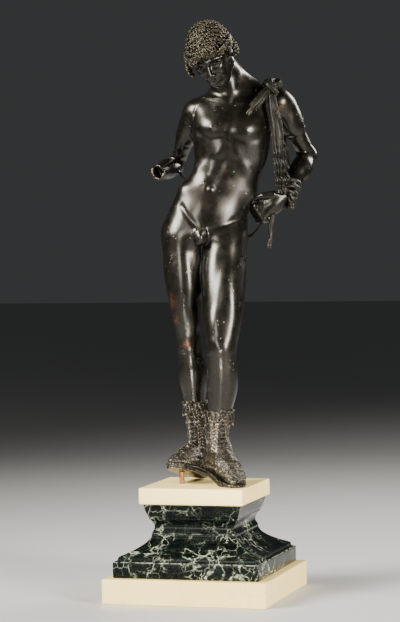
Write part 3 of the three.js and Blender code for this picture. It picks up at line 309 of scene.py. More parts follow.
CHEST = Frame([44, 39, 470], 7, 0, -7)
HEAD = Frame([17, 4, 578], 13, 35, 18, HEAD_SCALE)
RIGHT_FOOT = Frame([-4.5, 61, 0], 23.5, -14, 0)
LEFT_FOOT = Frame([9, 19, LEFT_HEEL_LIFT], -24.5, 10.5, 0)
RIGHT_SHOULDER = vec(-3, 47, 502)
RIGHT_ELBOW = vec(-33, 96, 431)
RIGHT_STUMP = vec(-58, 54, 421)
LEFT_SHOULDER = vec(109, 46, 515)
LEFT_ELBOW = vec(149, 88, 442)
LEFT_WRIST = vec(119, 34, 389)
NECK_ROOT = vec(46, 45, 520)
NECK_TOP = vec(28, 29, 566)
NAVEL = vec(14, 7, 397)
KNUCKLES = vec(80, 27, 364)
RIGHT_HIP = vec(-22, 40, 345)
RIGHT_KNEE = vec(-17, 37, 180)
RIGHT_ANKLE = vec(-8, 44, 42)
LEFT_HIP = vec(36, 32, 335)
LEFT_KNEE = vec(25, -15, 181)
LEFT_ANKLE = vec(18.5, 2, 48)
STUMP_BORE = 7.6
STUMP_DEPTH = 15.0
BEHIND_STUMP = 88.0

TORSO_COLUMN = column([
    [318, 4, 41, 50, 32], [336, 5, 42, 56, 38], [355, 8, 41, 56, 37], [375, 14, 39, 54, 33],
    [395, 23, 37, 51, 30], [415, 34, 37, 48, 29], [435, 42, 38, 48, 31], [455, 44, 39, 51, 35],
    [475, 44, 40, 53, 36], [495, 46, 42, 56, 32], [513, 47, 44, 56, 25], [528, 47, 46, 36, 17],
], 2.3, 16, 24)

CHEST_RELIEF = [
    *both(lambda s: [
        swell([s * 23, 35, 11], [22, 26, 18], 4.6),
        ridge([[s * 8, 36, -5], [s * 24, 38, -9], [s * 42, 28, 0]], 5.5, -1.0),
        ridge([[s * 5, 22, 45], [s * 24, 20, 46], [s * 50, 10, 50]], 4.6, 1.4),
    ]),
    swell([0, 22, 45], [6, 9, 7], -2.2),
    ridge([[0, 36, 34], [0, 38, -14]], 6, -0.9),
    *both(lambda s: [
        ridge([[s * 4, 36, -18], [s * 17, 35, -32], [s * 36, 24, -50]], 7.5, 0.8),
        swell([s * 44, 10, -22], [8, 26, 26], 1.2),
        swell([s * 24, 39, 7], [2.2, 4, 2.2], 0.7),
        swell([s * 26, -34, 14], [17, 14, 22], 4),
        ridge([[s * 13, -38, 30], [s * 17, -38, -10]], 5, -1.6),
    ]),
    ridge([[0, -32, 44], [0, -38, 0], [0, -31, -42]], 6, -3.6),
    *both(lambda s: [swell([s * 15, -30, -48], [11, 16, 40], 2.6)]),
]

BELLY_RELIEF = [
    swell(NAVEL, [3.4, 8, 3.4], -2.4),
    ridge([[39, 2, 448], [27, 5, 425], [14, 7, 402]], 6, -0.7),
    ridge([[14, 7, 394], [6, 6, 362]], 5, -0.5),
    swell([9, 8, 372], [22, 16, 18], 3),
    *[swell([mix(36, 20, row / 2) + s * 12, 5, 444 - 19 * row], [11, 16, 9], 1.1)
      for row in range(3) for s in (1, -1)],
    *[ridge([[14 - 7 * row, 6, 436 - 19 * row], [50 - 9 * row, 6, 433 - 19 * row]], 3.4, -0.4)
      for row in range(2)],
    ridge([[-26, 14, 374], [-17, 8, 360], [-3, 5, 342]], 4, -1.1),
    ridge([[8, 5, 341], [36, 7, 349], [56, 14, 359]], 4, -1.0),
    swell([-27, 22, 402], [15, 24, 14], 3),
    swell([73, 32, 388], [13, 24, 13], 3.2),
    swell([1, 4, 338], [12, 14, 9], 3),
    ridge([[38, 68, 412], [28, 69, 396], [17, 74, 380]], 6, -2.8),
    ridge([[7, 78, 372], [2, 82, 330], [3, 76, 306]], 5, -4.2),
]

BUTTOCKS = [egg([-20, 61, 335], [30, 23.5, 31]), egg([34, 57, 326], [29, 23.5, 31])]

NECK_PARTS = [
    (rod(NECK_ROOT, NECK_TOP, 21, 19), 14),
    (rod([39, 45, 559], [71, 54, 533], 16.5, 12.5), 14),
    (rod([62, 56, 530], [104, 52, 523], 13, 10), 20),
    (rod([34, 56, 522], [2, 52, 509], 12, 9), 18),
    (rod([36, 56, 535], [28, 38, 561], 14, 12.5), 12),
]
NECK_RELIEF = [
    ridge([[54, 30, 557], [42, 12, 521]], 7, 1.2),
    ridge([[10, 22, 556], [32, 14, 520]], 7, 1.2),
]

RIGHT_LEG_COLUMN = column([
    [40, -8, 44, 11, 13.5], [60, -10, 44, 10.8, 13], [80, -11, 44, 11.8, 14],
    [100, -12, 44, 13.6, 16.4], [118, -12.5, 44, 16, 19.5], [135, -13, 43, 18.8, 22],
    [150, -13.5, 41, 19.6, 22], [163, -14.5, 38.5, 18.4, 20], [178, -16.5, 36.5, 17.6, 19.6],
    [195, -18.5, 36, 17.2, 20.5], [214, -20.5, 36, 17.8, 23], [230, -21.5, 36, 20, 25.5],
    [247, -22.5, 36.5, 23, 28], [262, -22.5, 37, 25.8, 30], [285, -23.5, 38, 28, 31.5],
    [310, -24, 39, 28.6, 32], [330, -24, 40, 28, 32], [352, -22, 41, 26, 28],
], 2.15, 20, 6)

LEFT_LEG_COLUMN = column([
    [44, 18.5, 3, 11.2, 13.5], [67, 19.5, 2.5, 12.6, 14], [90, 21.5, 1.5, 15, 15.6],
    [104, 23, 0, 17, 17.6], [120, 25, -2, 19.6, 20.5], [136, 26, -5, 21, 22],
    [150, 26, -9, 20.8, 21.6], [165, 25.4, -13.5, 20.2, 20], [180, 25, -15.5, 20.3, 21],
    [200, 26, -12, 22.6, 23.5], [222, 27.5, -5, 25.8, 27], [247, 29, 4, 28.4, 30],
    [262, 29.5, 10, 29.8, 32], [285, 30, 18, 31, 33], [305, 31, 25, 30.6, 33],
    [325, 33, 30, 29, 32], [346, 34, 34, 26, 28],
], 2.15, 20, 6)


def leg_relief(hip, knee, ankle, side):
    """The muscles of one leg, each at its share of the way from hip to knee or knee to ankle."""

    def at(a, b, t, x, y):
        return between(a, b, t) + vec(x * side, y, 0)

    return [
        swell(at(hip, knee, 0.45, 4, -30), [16, 16, 44], 3),
        swell(at(hip, knee, 0.78, -11, -18), [10, 14, 17], 3.2),
        swell(at(hip, knee, 0.72, 13, -14), [8, 14, 26], 2.2),
        ridge([at(hip, knee, 0.2, -6, -32), at(hip, knee, 0.6, -15, -20)], 8, -1),
        swell(knee + vec(0, -19, 3), [9.5, 9, 10], 2.4),
        swell(knee + vec(-9 * side, -17, 12), [7, 9, 7], 1.2),
        ridge([knee + vec(-11 * side, -14, -7), knee + vec(11 * side, -14, -7)], 5, -0.5),
        swell(knee + vec(0, -18, -16), [7, 8, 8], 1),
        ridge([at(knee, ankle, 0.2, 1, -20), at(knee, ankle, 0.75, 1, -15)], 6, 1),
        swell(at(knee, ankle, 0.27, -10, 14), [10, 13, 22], 3.4),
        swell(at(knee, ankle, 0.24, 10, 14), [9, 13, 20], 2.6),
        ridge([at(knee, ankle, 0.15, 0, 24), at(knee, ankle, 0.42, 0, 22)], 4, -1.4),
        ridge([knee + vec(0, 20, 12), knee + vec(0, 20, -8)], 8, -2.4),
    ]


RIGHT_LEG_RELIEF = leg_relief(RIGHT_HIP, RIGHT_KNEE, RIGHT_ANKLE, -1)
LEFT_LEG_RELIEF = leg_relief(LEFT_HIP, LEFT_KNEE, LEFT_ANKLE, 1)

RIGHT_ARM_PARTS = [
    (rod(RIGHT_SHOULDER, between(RIGHT_SHOULDER, RIGHT_ELBOW, 0.4), 15.5, 13), 1),
    (rod(between(RIGHT_SHOULDER, RIGHT_ELBOW, 0.3), RIGHT_ELBOW, 12.8, 10.5), 10),
    (rod(RIGHT_ELBOW, between(RIGHT_ELBOW, RIGHT_STUMP, 0.45), 11, 12.6), 8),
    (rod(between(RIGHT_ELBOW, RIGHT_STUMP, 0.4), RIGHT_STUMP, 12.6, 11), 8),
    (rod([-8, 51, 496], [-22, 70, 462], 15, 9), 10),
]
RIGHT_ARM_RELIEF = [
    ridge([RIGHT_ELBOW + vec(14, -16, 3), RIGHT_ELBOW + vec(-12, -16, 10)], 4, -2.2),
    swell(RIGHT_ELBOW + vec(0, 12, -4), [7, 7, 7], 1.6),
]
LEFT_ARM_PARTS = [
    (rod(LEFT_SHOULDER, between(LEFT_SHOULDER, LEFT_ELBOW, 0.4), 17, 15), 1),
    (rod(between(LEFT_SHOULDER, LEFT_ELBOW, 0.3), LEFT_ELBOW, 14.5, 11.5), 10),
    (rod([116, 53, 508], [126, 64, 484], 16, 13), 12),
    (rod(LEFT_ELBOW, between(LEFT_ELBOW, LEFT_WRIST, 0.4), 11.5, 12.6), 8),
    (rod(between(LEFT_ELBOW, LEFT_WRIST, 0.3), LEFT_WRIST, 12.6, 8.6), 10),
]
LEFT_ARM_RELIEF = [
    ridge([LEFT_ELBOW + vec(-16, -12, 4), LEFT_ELBOW + vec(10, -14, 6)], 4, -1.8),
    swell(LEFT_ELBOW + vec(5, 9, -2), [7, 7, 7], 2),
    swell([124, 48, 480], [11, 14, 16], 2.4),
]

FINGER_OFFSETS = (-1.5, -0.5, 0.5, 1.5)
HAND_PARTS = [
    (rod(LEFT_WRIST, between(LEFT_WRIST, KNUCKLES, 0.5), 8.6, 9), 1),
    (egg(between(LEFT_WRIST, KNUCKLES, 0.6) + vec(-1, 3, 1), [18, 8.5, 15]), 8),
    *[(rod(between(LEFT_WRIST, KNUCKLES, 0.4) + vec(f * 1.6, 0, f * 3.6),
           KNUCKLES + vec(f * 3.4, -f * 0.6 + 1, -f * 5.4), 6, 5), 5) for f in FINGER_OFFSETS],
]
FINGERS = [
    cord([KNUCKLES + vec(f * 3.4, 1, -f * 5.4), KNUCKLES + vec(f * 3.3 - 6, 8, -f * 5.3 - 2),
          KNUCKLES + vec(f * 3 - 3, 19, -f * 5 - 3), KNUCKLES + vec(f * 3 + 6, 25, -f * 4.6 - 3)],
         [5.1, 4.9, 4.4, 4.2])
    for f in FINGER_OFFSETS
]
THUMB = cord([[113, 31, 386], [99, 25, 388], [85, 25, 386.5], [74, 30, 383.5]], [6, 5.6, 4.8, 4])

ELBOW_WEB = cord([[-31, 84, 424], [-22, 66, 414], [-14, 52, 408]], [2.4, 2, 2.6])
GROIN = [
    cord([[-1, 2, 336], [-1, -2.6, 331.5], [-1.5, -2.8, 325]], [3, 2.5, 2.1]),
    egg([-3.8, 2, 326.5], [3.7, 4.8, 6.2]),
    egg([1.8, 2, 327], [3.7, 4.8, 5.8]),
]

SKULL_PARTS = [
    (egg([0, -5, 7], [28.5, 36, 33]), 1),
    (egg([0, 10, -8], [22.5, 24, 30]), 10),
    (egg([0, 20, -25], [12.5, 11.5, 10]), 8),
    (egg([0, 19.5, -36.5], [8.5, 9.5, 6.5]), 7),
    *both(lambda s: [(rod([s * 19, 1, -19], [s * 9, 15, -34], 8, 7), 8)]),
]
FACE_RELIEF = [
    *both(lambda s: [
        swell([s * 11.5, 33, -2], [7.4, 9, 5], -5),
        ridge([[s * 4, 35, 3.4], [s * 12, 33, 6], [s * 21, 25, 2]], 2.6, 2),
        swell([s * 15.5, 27, -14], [8, 9, 7], 1.8),
        ridge([[s * 7.5, 32, -15], [s * 11, 28, -24]], 3, -0.8),
    ]),
    swell([0, 33, -31.5], [8, 7, 2], -1.5),
    swell([0, 33, -20.5], [1.3, 6, 2.6], -0.8),
]

# Nose, its wings, upper lip, lower lip; then for each side eyeball, lids and ear.
FACE_PARTS = [
    (cord([[0, 31, 4], [0, 35, -5], [0, 38.6, -13.6]], [3.2, 2.9, 3.6]), 4),
    *both(lambda s: [(egg([s * 4.1, 34.8, -15.2], [2.8, 4.2, 2.8]), 2.2)]),
    (cord([
        [-7.4, 30, -25.5], [-2.3, 32.6, -23.7], [0, 32.5, -24.4], [2.3, 32.6, -23.7], [7.4, 30, -25.5],
    ], [0.8, 1.7, 1.7, 1.7, 0.8]), 1.4),
    (cord([[-6.4, 30, -26.6], [0, 32.4, -28.1], [6.4, 30, -26.6]], [0.9, 2.3, 0.9]), 1.4),
    *both(lambda s: [
        (egg([s * 11.5, 25.4, -3.8], [6.8, 4.9, 3.7]), 0.6),
        (cord([
            [s * 5.2, 28.8, -4.4], [s * 8, 30.4, -2.4], [s * 11.8, 31, -1.5], [s * 15.6, 29, -2.4],
            [s * 18.4, 25.8, -4.8],
        ], [0.6, 1, 1.15, 1.05, 0.7]), 1.2),
        (cord([
            [s * 5.8, 28.6, -5], [s * 9, 29.6, -6.8], [s * 12.2, 29.8, -7.3], [s * 15.4, 28, -6.7],
            [s * 17.8, 25.6, -5.2],
        ], [0.5, 0.7, 0.8, 0.7, 0.5]), 1.1),
        (egg([s * 26.6, -5.5, -5], [2.4, 6.5, 9.5]), 1.5),
        (cord([
            [s * 27.5, 0.5, -5], [s * 29, -2, 3.6], [s * 30.4, -8, 5], [s * 30.2, -11.8, -1],
            [s * 28.8, -9.5, -9], [s * 27.6, -4.5, -14.5],
        ], [1.2, 1.5, 1.7, 1.7, 1.5, 1.9]), 1),
        (egg([s * 27.6, 0.8, -8], [1.5, 1.5, 2.6]), 1),
    ]),
]

# The line between the lips and the nostrils.
FACE_CUTS = [
    cord([
        [-7.6, 31.2, -26], [-2.4, 34.2, -25.6], [0, 34.3, -26], [2.4, 34.2, -25.6], [7.6, 31.2, -26],
    ], [0.5, 0.5]),
    *both(lambda s: [egg([s * 2.3, 37, -18.3], [1.2, 2.2, 1.5])]),
]


def torso_field(p, reach):
    """The trunk: a column with the buttocks joined on, less the reliefs of chest, back and belly."""
    d = TORSO_COLUMN.value(p)
    for cheek in BUTTOCKS:
        join(d, p, cheek, 14, reach)
    close = np.abs(d) < TRUNK_BAND
    if close.any():
        q = p[close]
        d[close] -= MUSCLE * (relief(CHEST.inward(q), CHEST_RELIEF) + relief(q, BELLY_RELIEF))
    return d


def stump_cut(p):
    """The broken end of the right forearm: an uneven rim round an open bore."""
    axis = unit(RIGHT_STUMP - RIGHT_ELBOW)
    side = unit(np.cross(axis, vec(0, 0, 1)))
    up = np.cross(side, axis)
    q = p - RIGHT_STUMP
    along, x, y = q @ axis, q @ side, q @ up
    angle = np.arctan2(y, x)
    uneven = 0.9 * cos(3 * angle + 0.7) + 0.5 * cos(5 * angle) + 0.25 * cos(11 * angle + 1)
    rim = along - uneven
    bore = maximum(np.hypot(x, y) - STUMP_BORE, -(along + STUMP_DEPTH))
    return np.where(p[:, 1] > BEHIND_STUMP, FAR, minimum(-rim, bore))


def skull_field(p, reach):
    """The bare head, from the skull's masses, the face's relief and its small features."""
    q = HEAD.inward(p)
    d = blend(q, SKULL_PARTS, reach, FACE_RELIEF)
    for form, k in FACE_PARTS:
        join(d, q, form, k, reach)
    for form in FACE_CUTS:
        near = form.near(q, 4)
        if near.any():
            d[near] = smooth_max(d[near], -form.value(q[near]), 0.7)
    return d * HEAD_SCALE


def body_field(p, reach):
    """The whole nude figure without hair, skin, boots, feet and fingers. A part is worked out only
    in the region where it may reach."""
    x, z = p[:, 0], p[:, 2]
    d = full(len(p), FAR)
    trunk = z > 290 - reach
    if trunk.any():
        d[trunk] = torso_field(p[trunk], reach)
    for inside, field, k in (
        (z > 480 - reach, neck_field, 16),
        (z > 510 - reach, skull_field, 6),
        ((x < 32 + reach) & (z > 400 - reach), right_arm_field, 9),
        ((x > 60 - reach) & (z > 360 - reach), left_arm_field, 12),
        (z < 370 + reach, legs_field, 13),
    ):
        if inside.any():
            d[inside] = smooth_min(d[inside], field(p[inside], reach), k)
    return join(d, p, ELBOW_WEB, 1.5, reach)


def neck_field(p, reach):
    return blend(p, NECK_PARTS, reach, NECK_RELIEF)


def right_arm_field(p, reach):
    """The right arm, its broken end cut away."""
    return maximum(blend(p, RIGHT_ARM_PARTS, reach, RIGHT_ARM_RELIEF), -stump_cut(p))


def left_arm_field(p, reach):
    return blend(p, LEFT_ARM_PARTS, reach, LEFT_ARM_RELIEF)


def legs_field(p, reach):
    """Both legs, joined between the thighs, and the groin."""
    right = raised(RIGHT_LEG_COLUMN.value(p), p, RIGHT_LEG_RELIEF)
    left = raised(LEFT_LEG_COLUMN.value(p), p, LEFT_LEG_RELIEF)
    d = smooth_min(right, left, 3)
    for form in GROIN:
        join(d, p, form, 3, reach)
    return d


def hand_field(p, reach):
    """The left hand: its back, four curled fingers and the thumb."""
    d = blend(p, HAND_PARTS, reach)
    for form in FINGERS:
        join(d, p, form, 1.5, reach)
    return join(d, p, THUMB, 2, reach)


# From a field to a skin of quads

BRICK = 4
COARSEST = 4 * BRICK
BLOCK_REACH = 1.9
SLOPE_STEP = 0.15
SLOPE_REACH = 3.0
LEAST_SLOPE = 0.2
LONGEST_SLIDE = 0.6
CORNERS = [(c & 1, c >> 1 & 1, c >> 2) for c in range(8)]


def runs(rows):
    """Rows in even runs, so that few points are worked on at a time."""
    return np.array_split(rows, max(1, len(rows) // POINTS_AT_ONCE))


def lattice_blocks(field, low, cell, counts):
    """The 4-cell blocks that the surface may cross, found by halving ever smaller blocks."""
    size = COARSEST
    steps = [arange(0, n, size) for n in counts]
    blocks = stack(np.meshgrid(*steps, indexing="ij"), -1).reshape(-1, 3)
    while True:
        reach = size * cell * BLOCK_REACH
        centre = low + (blocks + size / 2) * cell
        blocks = blocks[np.abs(field(centre, reach)) < reach]
        if size == BRICK:
            return blocks
        size //= 2
        halves = stack(np.meshgrid(*[[0, size]] * 3, indexing="ij"), -1).reshape(-1, 3)
        blocks = (blocks[:, None] + halves).reshape(-1, 3)


def lattice_values(field, low, cell, counts):
    """The field at the lattice points of the blocks that the surface may cross, elsewhere nan."""
    blocks = lattice_blocks(field, low, cell, counts)
    known = np.zeros(counts + 1, bool)
    for corner in np.ndindex(*[BRICK + 1] * 3):
        known[tuple(minimum(blocks + corner, counts).T)] = True
    # Points are taken in order of height, so that each run lies near few forms.
    index = np.argwhere(known.transpose(2, 1, 0))[:, ::-1]
    values = full(known.shape, np.nan)
    for run in runs(index):
        values[tuple(run.T)] = field(low + run * cell, 2 * cell)
    return values


def crossed_cells(values):
    """The cells that the surface crosses, and the field at the eight corners of each."""
    counts = [n - 1 for n in values.shape]
    count, whole = np.zeros(counts, np.int8), np.ones(counts, bool)
    for corner in CORNERS:
        view = values[tuple(slice(c, c + n) for c, n in zip(corner, counts))]
        count += view < 0
        whole &= ~np.isnan(view)
    cells = np.argwhere(whole & (count > 0) & (count < len(CORNERS)))
    return cells, stack([values[tuple((cells + c).T)] for c in CORNERS], 1)


def mean_crossings(cells, at_corners):
    """In each cell, the mean of the places where the surface crosses the cell's edges."""
    total, hits = np.zeros((len(cells), 3)), np.zeros(len(cells))
    for a, b in ((a, a | bit) for a in range(len(CORNERS)) for bit in (1, 2, 4) if not a & bit):
        start, end = at_corners[:, a], at_corners[:, b]
        crossed = (start < 0) != (end < 0)
        t = np.where(crossed, start / np.where(crossed, start - end, 1.0), 0.0)[:, None]
        place = CORNERS[a] + t * np.subtract(CORNERS[b], CORNERS[a])
        total += np.where(crossed[:, None], place, 0.0)
        hits += crossed
    return cells + total / hits[:, None]


def crossing_quads(values, cells):
    """One quad round each lattice edge that the surface crosses, through its four cells' points."""
    counts = np.array(values.shape) - 1
    number = full(counts, -1, np.int32)
    number[tuple(cells.T)] = arange(len(cells))
    quads = []
    for axis in range(3):
        start = [slice(1, n) for n in counts]
        end = list(start)
        start[axis], end[axis] = slice(0, counts[axis]), slice(1, counts[axis] + 1)
        a, b = values[tuple(start)], values[tuple(end)]
        edge = np.argwhere(((a < 0) != (b < 0)) & ~np.isnan(a) & ~np.isnan(b)) + 1
        edge[:, axis] -= 1
        u, w = np.roll(np.eye(3, dtype=int), -axis - 1, axis=0)[:2]
        quad = stack([number[tuple(r.T)] for r in (edge, edge - u, edge - u - w, edge - w)], 1)
        outward = values[tuple(edge.T)] < 0
        quad[outward] = quad[outward][:, ::-1]
        quads.append(quad[:, ::-1])
    quads = concatenate(quads)
    return quads[(quads >= 0).all(axis=1)]


def skin_of(field, low, high, cell, rounds=2):
    """Net of quads over a field's zero surface. In each round the corners are slid down the field's
    slope onto the surface, after being evened out along it in all rounds but the last."""
    low = asarray(low, float)
    counts = np.ceil((asarray(high) - low) / cell / BRICK).astype(int) * BRICK
    values = lattice_values(field, low, cell, counts)
    cells, at_corners = crossed_cells(values)
    points = low + mean_crossings(cells, at_corners) * cell
    quads = crossing_quads(values, cells)
    for step in range(rounds):
        if step < rounds - 1:
            points = even_out(points, quads)
        points = settle(points, field, LONGEST_SLIDE * cell)
    return points, quads


def summed(index, rows, count):
    """Rows of three added up by their index."""
    return stack([np.bincount(index, rows[:, k], count) for k in range(3)], 1)


def neighbour_mean(points, quads):
    """The mean of each corner's neighbours along the quads' edges."""
    a, b = quads.ravel(), np.roll(quads, -1, axis=1).ravel()
    ends, other = concatenate([a, b]), concatenate([b, a])
    n = maximum(np.bincount(ends, minlength=len(points)), 1)
    return summed(ends, points[other], len(points)) / n[:, None]


def corner_normals(points, quads):
    """Unit normals at the corners, from the quads round each."""
    p = points[quads]
    face = np.cross(p[:, 2] - p[:, 0], p[:, 3] - p[:, 1])
    return unit(summed(quads.ravel(), np.repeat(face, 4, axis=0), len(points)))


def even_out(points, quads):
    """Moves each corner halfway to the mean of its neighbours, along the surface only."""
    normal = corner_normals(points, quads)
    move = neighbour_mean(points, quads) - points
    move -= normal * np.einsum("ij,ij->i", move, normal)[:, None]
    return points + 0.5 * move


def settle(points, field, reach):
    """Slides each corner down the field's slope onto the zero surface, by at most the reach."""
    moved = points.copy()
    for run in runs(np.argsort(points[:, 2], kind="stable")):
        p = points[run]
        d = field(p, SLOPE_REACH)
        slope = stack([(field(p + SLOPE_STEP * way, SLOPE_REACH) - d) / SLOPE_STEP for way in np.eye(3)], 1)
        size = np.einsum("ij,ij->i", slope, slope)
        move = -(d / maximum(size, LEAST_SLOPE))[:, None] * slope
        length = np.linalg.norm(move, axis=1, keepdims=True)
        moved[run] = p + move * minimum(1.0, reach / maximum(length, 1e-9))
    return moved


# Meshes


def on_the_base(points):
    """From the figure's frame in mm to the object's in metres."""
    c, s = math.cos(FIGURE_TURN), math.sin(FIGURE_TURN)
    turned = asarray(points, float) @ np.array([[c, s, 0], [-s, c, 0], [0, 0, 1]])
    return (turned + vec(0, 0, GROUND)) / 1000.0


def put_mesh(name, points, quads, triangles, crest):
    """Makes a smooth mesh object from arrays of corners (metres), quads, triangles and crest marks."""
    mesh = bpy.data.meshes.new(name)
    loops = concatenate([quads.ravel(), triangles.ravel()])
    starts = concatenate([arange(len(quads)) * 4, quads.size + arange(len(triangles)) * 3])
    mesh.vertices.add(len(points))
    mesh.vertices.foreach_set("co", asarray(points, np.float32).ravel())
    mesh.loops.add(len(loops))
    mesh.loops.foreach_set("vertex_index", loops.astype(np.int32))
    mesh.polygons.add(len(starts))
    mesh.polygons.foreach_set("loop_start", starts.astype(np.int32))
    mesh.polygons.foreach_set("use_smooth", np.ones(len(starts), bool))
    marks = mesh.attributes.new("crest", "FLOAT", "POINT")
    marks.data.foreach_set("value", asarray(crest, np.float32))
    mesh.update(calc_edges=True)
    mesh.validate()
    piece = bpy.data.objects.new(name, mesh)
    bpy.context.scene.collection.objects.link(piece)
    return piece


def crest_of(points, quads):
    """How far each corner stands proud of its surroundings, in mm: its height over the mean of its
    neighbours, spread over three rings."""
    smooth = points
    for _ in range(3):
        smooth = neighbour_mean(smooth, quads)
    return np.einsum("ij,ij->i", points - smooth, corner_normals(points, quads))


def volume_of(points, quads, triangles):
    """The signed volume inside closed faces, as the sum of tetrahedra from their middle."""
    centred = points - points.mean(axis=0)
    fans = concatenate([triangles, quads[:, :3], quads[:, [0, 2, 3]]])
    a, b, c = (centred[fans[:, k]] for k in range(3))
    return np.einsum("ij,ij->", a, np.cross(b, c)) / 6


class Bundle:
    """Several closed shapes gathered into one mesh."""

    def __init__(self):
        self.points, self.quads, self.triangles, self.count = [], [], [], 0
        self.marks = []

    def add(self, points, quads, triangles, mark=0.0):
        """Adds a closed shape; one that holds a negative volume is inside out and is turned."""
        points = asarray(points, float).reshape(-1, 3)
        quads, triangles = asarray(quads).reshape(-1, 4), asarray(triangles).reshape(-1, 3)
        if volume_of(points, quads, triangles) < 0:
            quads, triangles = quads[:, ::-1], triangles[:, ::-1]
        self.points.append(points)
        self.quads.append(quads + self.count)
        self.triangles.append(triangles + self.count)
        self.marks.append(np.broadcast_to(asarray(mark, float), len(points)))
        self.count += len(points)

    def tubes(self, *args, mark=0.0, **kwargs):
        points, quads, triangles = tube(*args, **kwargs)
        self.add(points, quads, triangles, mark)

    def put(self, name, place=on_the_base):
        parts = (concatenate(rows) for rows in (self.points, self.quads, self.triangles, self.marks))
        points, quads, triangles, marks = parts
        return put_mesh(name, place(points), quads, triangles, marks)


def spline(points, count):
    """A smooth line through the points, as count even steps of a Catmull-Rom curve."""
    p = asarray(points, float)
    padded = concatenate([[2 * p[0] - p[1]], p, [2 * p[-1] - p[-2]]])
    t = linspace(0, len(p) - 1, count)
    i = minimum(t.astype(int), len(p) - 2)
    f = (t - i)[:, None]
    a, b, c, d = (padded[i + k] for k in range(4))
    square = (2 * a - 5 * b + 4 * c - d) * f**2
    return 0.5 * (2 * b + (c - a) * f + square + (3 * b - a - 3 * c + d) * f**3)


def net(rows, sides, closed=False):
    """Faces of a grid of rings: closed on itself, or with a pole before the first ring and one after
    the last, whose points come after the grid's."""
    i, j = np.meshgrid(arange(rows if closed else rows - 1), arange(sides), indexing="ij")
    i2, j2 = (i + 1) % rows, (j + 1) % sides
    quads = stack([i * sides + j, i * sides + j2, i2 * sides + j2, i2 * sides + j], -1).reshape(-1, 4)
    if closed:
        return quads, np.zeros((0, 3), int)
    j, end = arange(sides), (rows - 1) * sides
    j2 = (j + 1) % sides
    first = stack([full(sides, rows * sides), j2, j], 1)
    last = stack([full(sides, rows * sides + 1), end + j, end + j2], 1)
    return quads, concatenate([first, last])


def repeated(faces, size, count):
    """The same faces for count shapes of size points each."""
    return (faces[None] + (arange(count) * size)[:, None, None]).reshape(-1, faces.shape[1])


def with_ends(rows, first, last):
    """Rows with one more station before and one after."""
    return concatenate([first, rows, last], axis=1)


# An open tube's nose: where its last ring and its pole stand, and how wide the ring is, in radii.
NOSE_RING, NOSE_TIP, NOSE_WIDTH = 0.5, 0.85, 0.78


def tube(paths, radii, reference, sides=8, flat=1.0, lobes=0, lobe_depth=0.0, closed=False):
    """Profiles carried along paths. Each ring is centre + r (cos a e1 + flat sin a e2), where e1 is
    square to the path and to the reference direction, e2 square to both; r may swell in lobes.
    Open tubes end in a round nose with a pole."""
    paths = asarray(paths, float)
    if paths.ndim == 2:
        paths = paths[None]
    count, stations = paths.shape[:2]
    radii = np.broadcast_to(asarray(radii, float), (count, stations))
    if closed:
        along = unit(np.roll(paths, -1, axis=1) - np.roll(paths, 1, axis=1))
    else:
        along = unit(np.gradient(paths, axis=1))
    e1 = unit(np.cross(along, np.broadcast_to(asarray(reference, float), paths.shape)))
    e2 = np.cross(along, e1)
    if not closed:
        nose = along * radii[..., None]
        poles = stack([paths[:, 0] - NOSE_TIP * nose[:, 0], paths[:, -1] + NOSE_TIP * nose[:, -1]], 1)
        step = NOSE_RING * nose
        paths = with_ends(paths, paths[:, :1] - step[:, :1], paths[:, -1:] + step[:, -1:])
        radii = with_ends(radii, NOSE_WIDTH * radii[:, :1], NOSE_WIDTH * radii[:, -1:])
        e1, e2 = (with_ends(e, e[:, :1], e[:, -1:]) for e in (e1, e2))
        stations += 2
    a = once_round(sides)
    r = radii[:, :, None] * (1 + lobe_depth * cos(lobes * a))
    e1, e2 = e1[:, :, None], e2[:, :, None]
    ring = shifted(paths[:, :, None], (r * cos(a), e1), (r * flat * sin(a), e2)).reshape(count, -1, 3)
    if not closed:
        ring = concatenate([ring, poles], axis=1)
    quads, triangles = net(stations, sides, closed)
    size = ring.shape[1]
    return ring.reshape(-1, 3), repeated(quads, size, count), repeated(triangles, size, count)


def scatter(template, origins, scales, axes=None):
    """Copies of a small closed shape, each scaled, turned to its own axes if given, and moved."""
    points, quads, triangles = template
    count = len(origins)
    axes = np.broadcast_to(np.eye(3), (count, 3, 3)) if axes is None else axes
    scales = np.broadcast_to(asarray(scales, float).reshape(count, -1), (count, 3))
    placed = np.einsum("pk,tk,tkc->tpc", points, scales, axes) + asarray(origins)[:, None]
    size = len(points)
    return placed.reshape(-1, 3), repeated(quads, size, count), repeated(triangles, size, count)


def pillow(outline, rings, thick, curl, sides=12):
    """A closed leaf-like shape: its rim is outline(angle), its two faces bulge by the thickness and
    bend along the length by curl."""
    a = once_round(sides)
    rho = linspace(0, 1, rings + 1)[1:]
    rim = stack([outline(a) * cos(a), outline(a) * sin(a)], 1)
    flat = rho[:, None, None] * rim[None]
    bulge = sqrt(maximum(1 - rho**2, 0))[:, None] * thick + np.zeros((1, sides))
    bend = curl * flat[..., 1] ** 2 - 0.5 * curl * flat[..., 0] ** 2
    top = np.dstack([flat, bend + bulge])
    low = np.dstack([flat, bend - bulge])[-2::-1]
    points = concatenate([top.reshape(-1, 3), low.reshape(-1, 3), [[0, 0, thick], [0, 0, -thick]]])
    quads, triangles = net(2 * rings - 1, sides)
    # The corner that a quad starts from sets the diagonal along which it is split
    return points, np.roll(quads, 1, axis=1), triangles


def ball(sides=7, rings=4):
    """A small sphere of radius one."""
    polar = arange(1, rings + 1)[:, None] / (rings + 1) * math.pi
    a = once_round(sides)
    ring = stack([sin(polar) * cos(a), sin(polar) * sin(a), cos(polar) + 0 * a], -1)
    return concatenate([ring.reshape(-1, 3), [[0, 0, 1], [0, 0, -1]]]), *net(rings, sides)


# The bare body, cut from the head across the neck, where the two overlap a little

